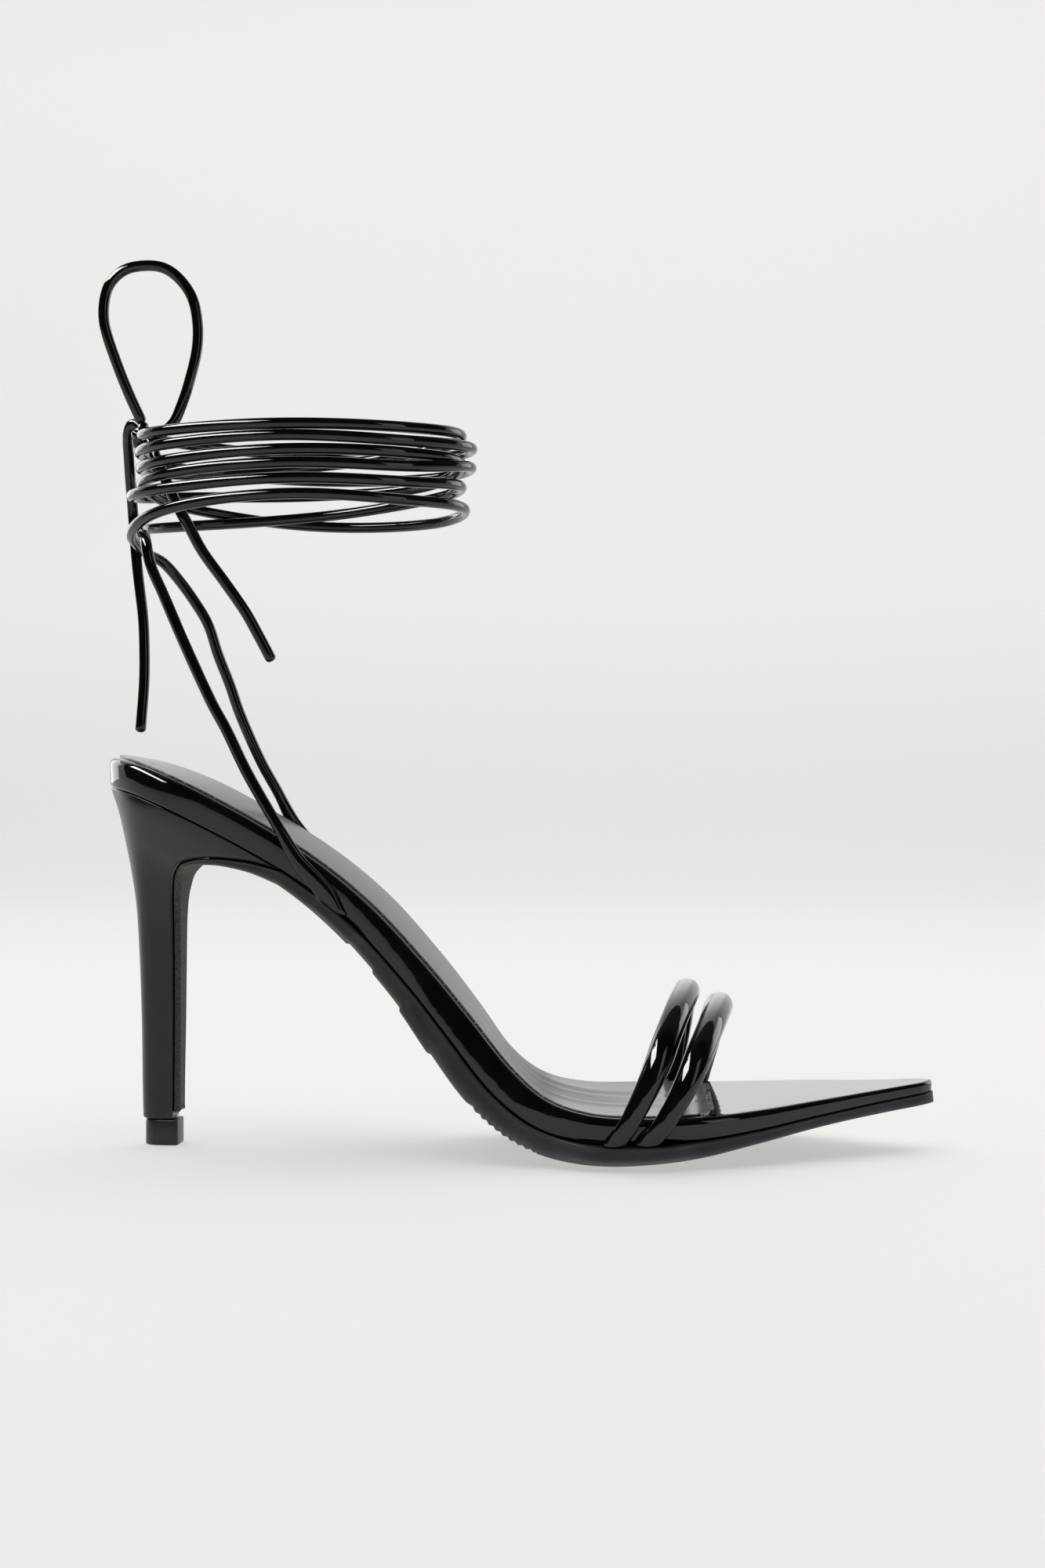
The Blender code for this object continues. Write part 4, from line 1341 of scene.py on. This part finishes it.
@dataclass
class ToeStraps:
    """Two stuffed tube straps across the toes."""

    last: Last
    rise: float = 0.0418
    root_width: float = 0.0050
    root_depth: float = 0.0027
    flat_start: float = 0.56
    flat_run: float = 0.38
    rings: int = 121
    rows: tuple[StrapRow, ...] = (
        StrapRow("tube_strap_rear", "toe_strap_rear", 0.613, 0.684, 0.705, 1.000),
        StrapRow("tube_strap_front", "toe_strap_front", 0.652, 0.718, 0.745, 0.912),
    )
    arc: tuple[Triple, ...] = (
        # rise, lean and side
        (0.00, 0.00, 1.00), (0.20, 0.25, 1.03), (0.50, 0.54, 0.97), (0.76, 0.74, 0.80), (0.93, 0.89, 0.50))

    def _route(self, row: StrapRow) -> list[Vector]:
        """Centres from the outer root over the crown to the inner root.

        Args:
            row: Where the strap roots and crowns.

        Returns:
            The centres.
        """
        crown = Vector((row.crown * LENGTH, 0.0, self.rise * row.rise))
        halves = []
        for outer_side, along in ((True, row.outer), (False, row.inner)):
            root = self.last.edge(along, outer_side, -self.last.footbed(along), GAP + self.root_depth / 2)
            span = crown - root
            halves.append([Vector((root.x + span.x * lean, root.y * side, root.z + span.z * rise))
                           for rise, lean, side in self.arc])
        return smooth_route(halves[0] + [crown] + halves[1][::-1], self.rings)

    def _strap(self, row: StrapRow) -> Piece:
        """One strap, pinched flat at its roots.

        Args:
            row: Where the strap roots and crowns.

        Returns:
            The piece.
        """
        tube = Tube(row.name, self._route(row), [], [], [], [], 32)
        runs = tube.runs()
        for k, centre in enumerate(tube.centres):
            share = abs(2 * k / (self.rings - 1) - 1)
            flat = eased((share - self.flat_start) / self.flat_run)
            side = Vector((0.0, centre.y, (centre.z - SOLE_THICKNESS) * (1 - flat)))
            tube.outward.append(side.normalized() if side.length > 0 else Vector((0, 0, 1)))
            up = Vector((0, 0, 1 if runs[k].z > 0 else -1))
            tube.planes.append(runs[k].lerp(up, flat).normalized())
            swell = 1 + 0.012 * sin(1.9 * k) * flat + 0.006 * sin(0.31 * k)
            tube.widths.append((STRAP_DIAMETER * (1 - flat) + self.root_width * flat) * swell)
            tube.depths.append((STRAP_DIAMETER * (1 - flat) + self.root_depth * flat) * swell)
        return tube.build()

    def make(self, patent: bpy.types.Material) -> None:
        """Build and dress both straps."""
        for row in self.rows:
            self._strap(row).finish(patent, row.node, row.node)


@dataclass(frozen=True)
class TieRow:
    """One tie: its side, root and riser, and its course round the ankle by eighths of a turn."""

    outer_side: bool
    root: float
    last_turn: float
    levels: tuple[float, ...]
    outsets: tuple[float, ...]
    riser: tuple[Triple, ...]


TIE_ROWS = (
    # levels are in pitches over the wrap's height, outsets in ties, and a riser's point is
    # along, side of the root's own distance, high
    TieRow(True, 0.313, 1066.0,
           (-0.78, -0.37, 0.02, 0.44, 0.62, 0.50, 0.53, 0.35, 0.36, 0.66, 0.78, 0.94, 1.42, 1.48, 1.50,
            1.34, 1.30, 1.46, 1.86, 2.22, 2.40, 2.34, 2.36, 2.34, 2.46),
           (*[0.0] * 7, 0.4, 1.0, 0.4, *[0.0] * 15),
           ((0.279, 1.02, 0.664), (0.250, 1.03, 0.736), (0.228, 1.00, 0.812), (0.187, 0.89, 0.952),
            (0.160, 0.82, 1.061), (0.142, 0.78, 1.126), (0.108, 0.69, 1.270), (0.078, 0.60, 1.405),
            (0.062, 0.56, 1.477), (0.055, 0.50, 1.535))),
    TieRow(False, 0.257, 1062.0,
           (-1.10, -0.35, 0.00, -0.12, -0.14, -0.36, -0.30, 0.18, 0.66, 0.88, 1.05, 1.02, 1.30, 1.28, 1.36,
            1.62, 1.86, 1.88, 1.97, 1.86, 1.96, 2.02, 2.26, 2.50, 2.58),
           (1.1, 0.4, 0.0, 0.0, 0.3, 1.0, 1.0, 0.8, 0.0, 0.0, 0.0, 0.2, 1.0, 1.0, 0.9, 1.0,
            0.2, 0.0, 0.0, 0.5, 1.1, 1.0, 1.0, 0.4, 0.0),
           ((0.247, 1.05, 0.718), (0.228, 1.10, 0.760), (0.207, 1.10, 0.818), (0.187, 1.00, 0.905),
            (0.167, 0.95, 0.983), (0.142, 0.90, 1.104), (0.128, 0.88, 1.189), (0.113, 0.87, 1.270),
            (0.101, 0.86, 1.347), (0.084, 0.86, 1.407), (0.063, 0.84, 1.468), (0.046, 0.74, 1.510),
            (0.030, 0.50, 1.530))),
)


@dataclass
class AnkleTies:
    """Two ties, each a root, a riser and three turns round the ankle."""

    last: Last
    root_width: float = 0.0056
    root_depth: float = 0.0018
    root_run: float = 0.026
    root_cut: float = 0.55
    fuse: float = 0.0004
    wrap_length: float = 0.0866
    wrap_width: float = 0.0570
    wrap_height: float = 0.1723
    wrap_centre: float = 0.2343
    pitch: float = 0.0077
    tuck: float = 0.0006
    step: int = 3
    riser_points: int = 90
    twist: Pair = (30, 40)

    def _wrap(self, row: TieRow) -> list[Vector]:
        """Centres of a tie round the ankle, from the heel's back.

        Args:
            row: The tie.

        Returns:
            The centres.
        """
        keys = [45.0 * k for k in range(len(row.levels))]
        count = round(row.last_turn / self.step)
        route = []
        for k in range(count + 1):
            turn = row.last_turn * k / count
            angle = radians(-turn if row.outer_side else turn)
            out = smooth_read(keys, row.outsets, turn) * (TIE_DIAMETER - self.fuse)
            route.append(Vector((self.wrap_centre * LENGTH - (self.wrap_length / 2 + out) * cos(angle),
                                 -(self.wrap_width / 2 + out) * sin(angle),
                                 self.wrap_height + smooth_read(keys, row.levels, turn) * self.pitch)))
        return route

    def _tie(self, row: TieRow) -> Piece:
        """One tie from its root to the end of its last turn.

        Args:
            row: The tie.

        Returns:
            The piece.
        """
        wrap, up = self._wrap(row), self.last.up(row.root)
        root = self.last.edge(row.root, row.outer_side, -self.tuck - self.last.footbed(row.root), GAP)
        riser = [root] + [Vector((along * LENGTH, side * root.y, high * SEAT_HEIGHT))
                          for along, side, high in row.riser]
        rise = smooth_route(riser + [wrap[0]], self.riser_points)[:-1]
        tube = Tube("tie", rise + wrap, [], [], [], [], 18, Corner.ROUND if row.outer_side else Corner.FLAT)
        runs = tube.runs()
        twist_from, twist_run = self.twist
        away = 0.0
        for k, centre in enumerate(tube.centres):
            away += (centre - tube.centres[k - 1]).length if k else 0.0
            flat = max(0.0, 1.0 - away / self.root_run)
            cut = up if runs[k].dot(up) > 0 else -up
            tube.planes.append(runs[k].lerp(cut, self.root_cut * flat).normalized())
            around = centre - Vector((self.wrap_centre * LENGTH, 0.0, centre.z))
            turn = held((k - twist_from) / twist_run)
            tube.outward.append((Vector((0.0, centre.y, 0.0)).normalized() * (1 - turn)
                                 + around.normalized() * turn).normalized())
            tube.widths.append(TIE_DIAMETER + (self.root_width - TIE_DIAMETER) * flat)
            tube.depths.append(TIE_DIAMETER + (self.root_depth - TIE_DIAMETER) * flat)
        return tube.build()

    def make(self, patent: bpy.types.Material) -> None:
        """Build and dress both ties as one piece.

        Args:
            patent: Its finish.
        """
        piece = Piece("tube_ties")
        for row in TIE_ROWS:
            piece.add(self._tie(row))
        piece.finish(patent, "ankle_ties", "ankle_ties")


@dataclass
class KnotAndEnds:
    """The knot at the back of the wrap, its standing loop and its two hanging ends."""

    knot_centre: Triple = (7.3, 1.6, 192.0)
    loop: tuple[Triple, ...] = (
        (7.4, 1.5, 196.2), (4.4, 0.5, 203.0), (1.0, 0.0, 211.7), (-2.0, -0.5, 221.2), (-2.3, -0.5, 227.4),
        (-0.8, 0.0, 233.0), (3.2, 0.5, 236.8), (8.4, 1.0, 238.0), (13.6, 1.0, 237.4), (17.9, 1.0, 234.5),
        (21.7, 0.5, 229.0), (23.3, 0.0, 221.7), (23.1, -0.5, 214.3), (20.9, -1.0, 204.9),
        (19.1, -1.0, 199.7), (16.9, -0.5, 195.2), (13.6, 0.5, 192.6), (11.0, 1.2, 191.9))
    long_end: tuple[Triple, ...] = (
        (3.1, 4.6, 192.8), (2.5, 6.8, 191.2), (2.2, 9.4, 187.4), (2.2, 11.2, 181.4), (2.4, 12.5, 175.6),
        (2.7, 13.0, 170.0), (3.2, 13.0, 163.0), (4.2, 12.0, 155.0), (6.1, 10.0, 142.5), (6.9, 8.0, 132.2),
        (7.0, 7.0, 124.6), (6.3, 6.0, 112.4))
    short_end: tuple[Triple, ...] = (
        (11.2, -0.9, 188.5), (12.6, -3.0, 185.4), (14.6, -5.0, 181.6), (18.6, -6.0, 172.9),
        (22.5, -6.0, 165.8), (26.0, -6.0, 159.5), (32.2, -6.0, 151.0), (37.5, -6.0, 143.4),
        (41.1, -6.0, 137.0), (44.3, -6.0, 131.0))
    bends: tuple[tuple[Triple, ...], ...] = (
        ((7.6, 1.8, 193.6), (5.8, 2.6, 195.2), (4.0, 3.6, 194.9), (3.1, 4.6, 192.8)),
        ((8.4, 1.0, 191.4), (9.8, 0.1, 190.2), (11.2, -0.9, 188.5)))
    turns: tuple[tuple[float, ...], ...] = (
        # tilt, reach, rise and start
        (0.5, 1.7, 1.1, 0.0), (-0.6, 1.9, -0.9, 1.3), (1.5, 1.3, 0.1, 2.4))
    turn_points: int = 41
    overlap: float = 1.02
    tightness: float = 0.92

    def _tube(self, name: str, points: list[Vector], outward: list[Vector], share: float = 1.0,
              sides: int = 16) -> Piece:
        """Round ended tube through these points, of a share of the tie's thickness.

        Args:
            name: Name of the piece.
            points: Its centres.
            outward: Thin direction at each centre.
            share: Share of the tie's thickness.
            sides: Sides round it.

        Returns:
            The piece.
        """
        size = [TIE_DIAMETER * share] * len(points)
        return Tube(name, points, outward, size, size, None, sides, Corner.ROUND).build()

    def _cord(self, name: str, node: str, points: Sequence[tuple], count: int,
              patent: bpy.types.Material) -> None:
        """Args:
            name: Name of the piece.
            node: CAD node that it stands for.
            points: Route in millimetres.
            count: How many points to smooth it to.
            patent: Its finish.
        """
        route = smooth_route([Vector(p) * MM for p in points], count)
        outward = [Vector((0.2, -1.0, 0.1)).normalized()] * count
        made = self._tube(name, route, outward, 1.0, 18).finish(patent, node, node)

    def _knot(self, patent: bpy.types.Material) -> None:
        """A tight knot of tube: crossing wraps round its centre, and the bends into both ends.

        Args:
            patent: Its finish.
        """
        centre = Vector(self.knot_centre) * MM
        piece = Piece("knot_wraps")
        for tilt, reach, rise, start in self.turns:
            points = []
            for k in range(self.turn_points):
                turn = start + self.overlap * 2 * pi * k / (self.turn_points - 1)
                across = Vector((reach * 0.62 * cos(turn), reach * sin(turn),
                                 rise * 0.6 + tilt * 1.6 * cos(turn)))
                points.append(centre + across * MM)
            outward = [(p - centre).normalized() for p in points]
            piece.add(self._tube("turn", points, outward, self.tightness))
        for bend in self.bends:
            points = smooth_route([Vector(p) * MM for p in bend], 16)
            piece.add(self._tube("bend", points, [Vector((0.1, -1.0, 0.2)).normalized()] * len(points)))
        piece.finish(patent, "tie_knot", "tie_knot")

    def make(self, patent: bpy.types.Material) -> None:
        """Build the knot and the three cords.

        Args:
            patent: Its finish.
        """
        self._knot(patent)
        for part, points, count, far_end in (("loop", self.loop, 90, "object"),
                                             ("end_long", self.long_end, 60, "bare"),
                                             ("end_short", self.short_end, 48, "bare")):
            self._cord("cord_" + part, "tie_" + part, points, count, patent)


class Seen(Enum):
    """What an area light reaches."""

    IN_GLOSS = "gloss"
    ON_MATT = "matt"


@dataclass(frozen=True)
class Softbox:
    """One area light of the studio, its radiance read where it is reflected whole."""

    name: str
    place: Triple
    aim: Triple
    size: Pair
    radiance: float
    seen: Seen

    def power(self) -> float:
        """Watts for its radiance and size."""
        return self.radiance * pi * self.size[0] * self.size[1]


@dataclass
class Studio:
    """Pale seamless paper, a bright ceiling behind, a dark room in front and softboxes."""

    softboxes: tuple[Softbox, ...] = (
        Softbox("left_strip", (-0.56, -0.22, 0.82), (0.03, 0.0, 0.03), (0.95, 0.25), 20.0, Seen.IN_GLOSS),
        Softbox("left_back", (-1.15, 1.05, 0.42), (0.0, 0.0, 0.10), (0.85, 1.00), 2.0, Seen.IN_GLOSS),
        Softbox("right_back", (1.20, 0.95, 0.42), (0.0, 0.0, 0.10), (0.70, 1.00), 1.8, Seen.IN_GLOSS),
        Softbox("right_panel", (0.80, -0.72, 0.48), (0.04, 0.0, 0.03), (0.34, 0.85), 1.1, Seen.IN_GLOSS),
        Softbox("overhead", (0.0, 0.1, 1.5), (0.0, 0.0, 0.0), (2.0, 2.0), 1.25, Seen.ON_MATT),
    )
    ceiling: float = 1.25
    gloom: float = 0.035
    ceiling_edge: Pair = (0.03, 0.12)
    side_fall: Pair = (0.45, 0.95)
    side_dark: float = 0.7
    paper_marks: Triple = (-12.0, -3.0, 1.2)
    paper_side: float = 8.0
    sweep: float = 0.9
    wall_top: float = 3.0
    camera: Triple = (0.0464, -0.6484, 0.0973)
    yaw: float = 4.0
    focal: float = 55.71
    sensor: float = 36.0

    def _world(self) -> None:
        """A bright ceiling behind the shoe, and a dark room in front of it and at its sides."""
        world = bpy.data.worlds.new("studio")
        bpy.context.scene.world = world
        world.use_nodes = True
        graph = Graph.over_tree(world.node_tree)
        aside, back, _ = graph.split(graph.node("ShaderNodeTexCoord", output="Generated"))
        bright = back.over(*self.ceiling_edge) * (1.0 - abs(aside).over(*self.side_fall) * self.side_dark)
        world.node_tree.links.new((bright * self.ceiling + self.gloom).socket,
                                  world.node_tree.nodes["Background"].inputs["Strength"])

    def _paper(self) -> None:
        """Seamless paper: a floor that sweeps up far behind."""
        back = self.paper_marks[-1]
        profile = [(mark, 0.0) for mark in self.paper_marks]
        profile += [(back + self.sweep * sin(radians(a)), self.sweep - self.sweep * cos(radians(a)))
                    for a in range(6, 91, 6)]
        profile += [(back + self.sweep, self.wall_top)]
        mesh = bpy.data.meshes.new("paper_sweep")
        vertices = [(x, y, z) for y, z in profile for x in (-self.paper_side, self.paper_side)]
        faces = [(2 * k, 2 * k + 1, 2 * k + 3, 2 * k + 2) for k in range(len(profile) - 1)]
        mesh.from_pydata(vertices, [], faces)
        for polygon in mesh.polygons:
            polygon.use_smooth = True
        mesh.materials.append(StudioPaper().make())
        made = bpy.data.objects.new("paper_sweep", mesh)
        bpy.context.scene.collection.objects.link(made)

    def _lights(self) -> None:
        """Place the softboxes."""
        for box in self.softboxes:
            data = bpy.data.lights.new(box.name, "AREA")
            data.shape, data.size, data.size_y = "RECTANGLE", *box.size
            data.energy = box.power()
            light = bpy.data.objects.new(box.name, data)
            light.location = box.place
            light.visible_glossy = box.seen is Seen.IN_GLOSS
            light.visible_diffuse = box.seen is Seen.ON_MATT
            light.rotation_euler = (Vector(box.aim) - Vector(box.place)).to_track_quat("-Z", "Y").to_euler()
            bpy.context.scene.collection.objects.link(light)

    def _camera(self) -> None:
        """Level camera at the photo's distance and turn."""
        data = bpy.data.cameras.new("camera")
        data.lens, data.sensor_width = self.focal, self.sensor
        camera = bpy.data.objects.new("camera", data)
        camera.location = self.camera
        camera.rotation_euler = (pi / 2, 0.0, radians(self.yaw))
        bpy.context.scene.collection.objects.link(camera)
        bpy.context.scene.camera = camera

    def make(self) -> None:
        """Set up the camera, the paper and the light."""
        self._camera()
        self._world()
        self._paper()
        self._lights()
        bpy.context.scene.view_settings.view_transform = "Standard"


def main() -> None:
    """Build every sub-assembly of the shoe in order and report it."""
    logging.basicConfig(level=logging.INFO, format="%(name)s: %(message)s")
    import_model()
    Studio().make()
    last = Last()
    patent = Patent().make()
    tube = Patent(name="tube_patent", roughness=0.04, ripple=0.00002, seam=0.97).make()
    KnotAndEnds().make(tube)
    AnkleTies(last).make(tube)
    ToeStraps(last).make(Patent(name="strap_patent", roughness=0.045, ripple=0.00003).make())
    Footbed(last).make(patent, SockLeather().make())
    heel = Heel(last)
    heel.make(Patent(name="heel_patent", roughness=0.30, coat=0.0).make(), LiftPlastic().make())
    Outsole(last, heel).make(SoleRubber().make())


if __name__ == "__main__":
    main()
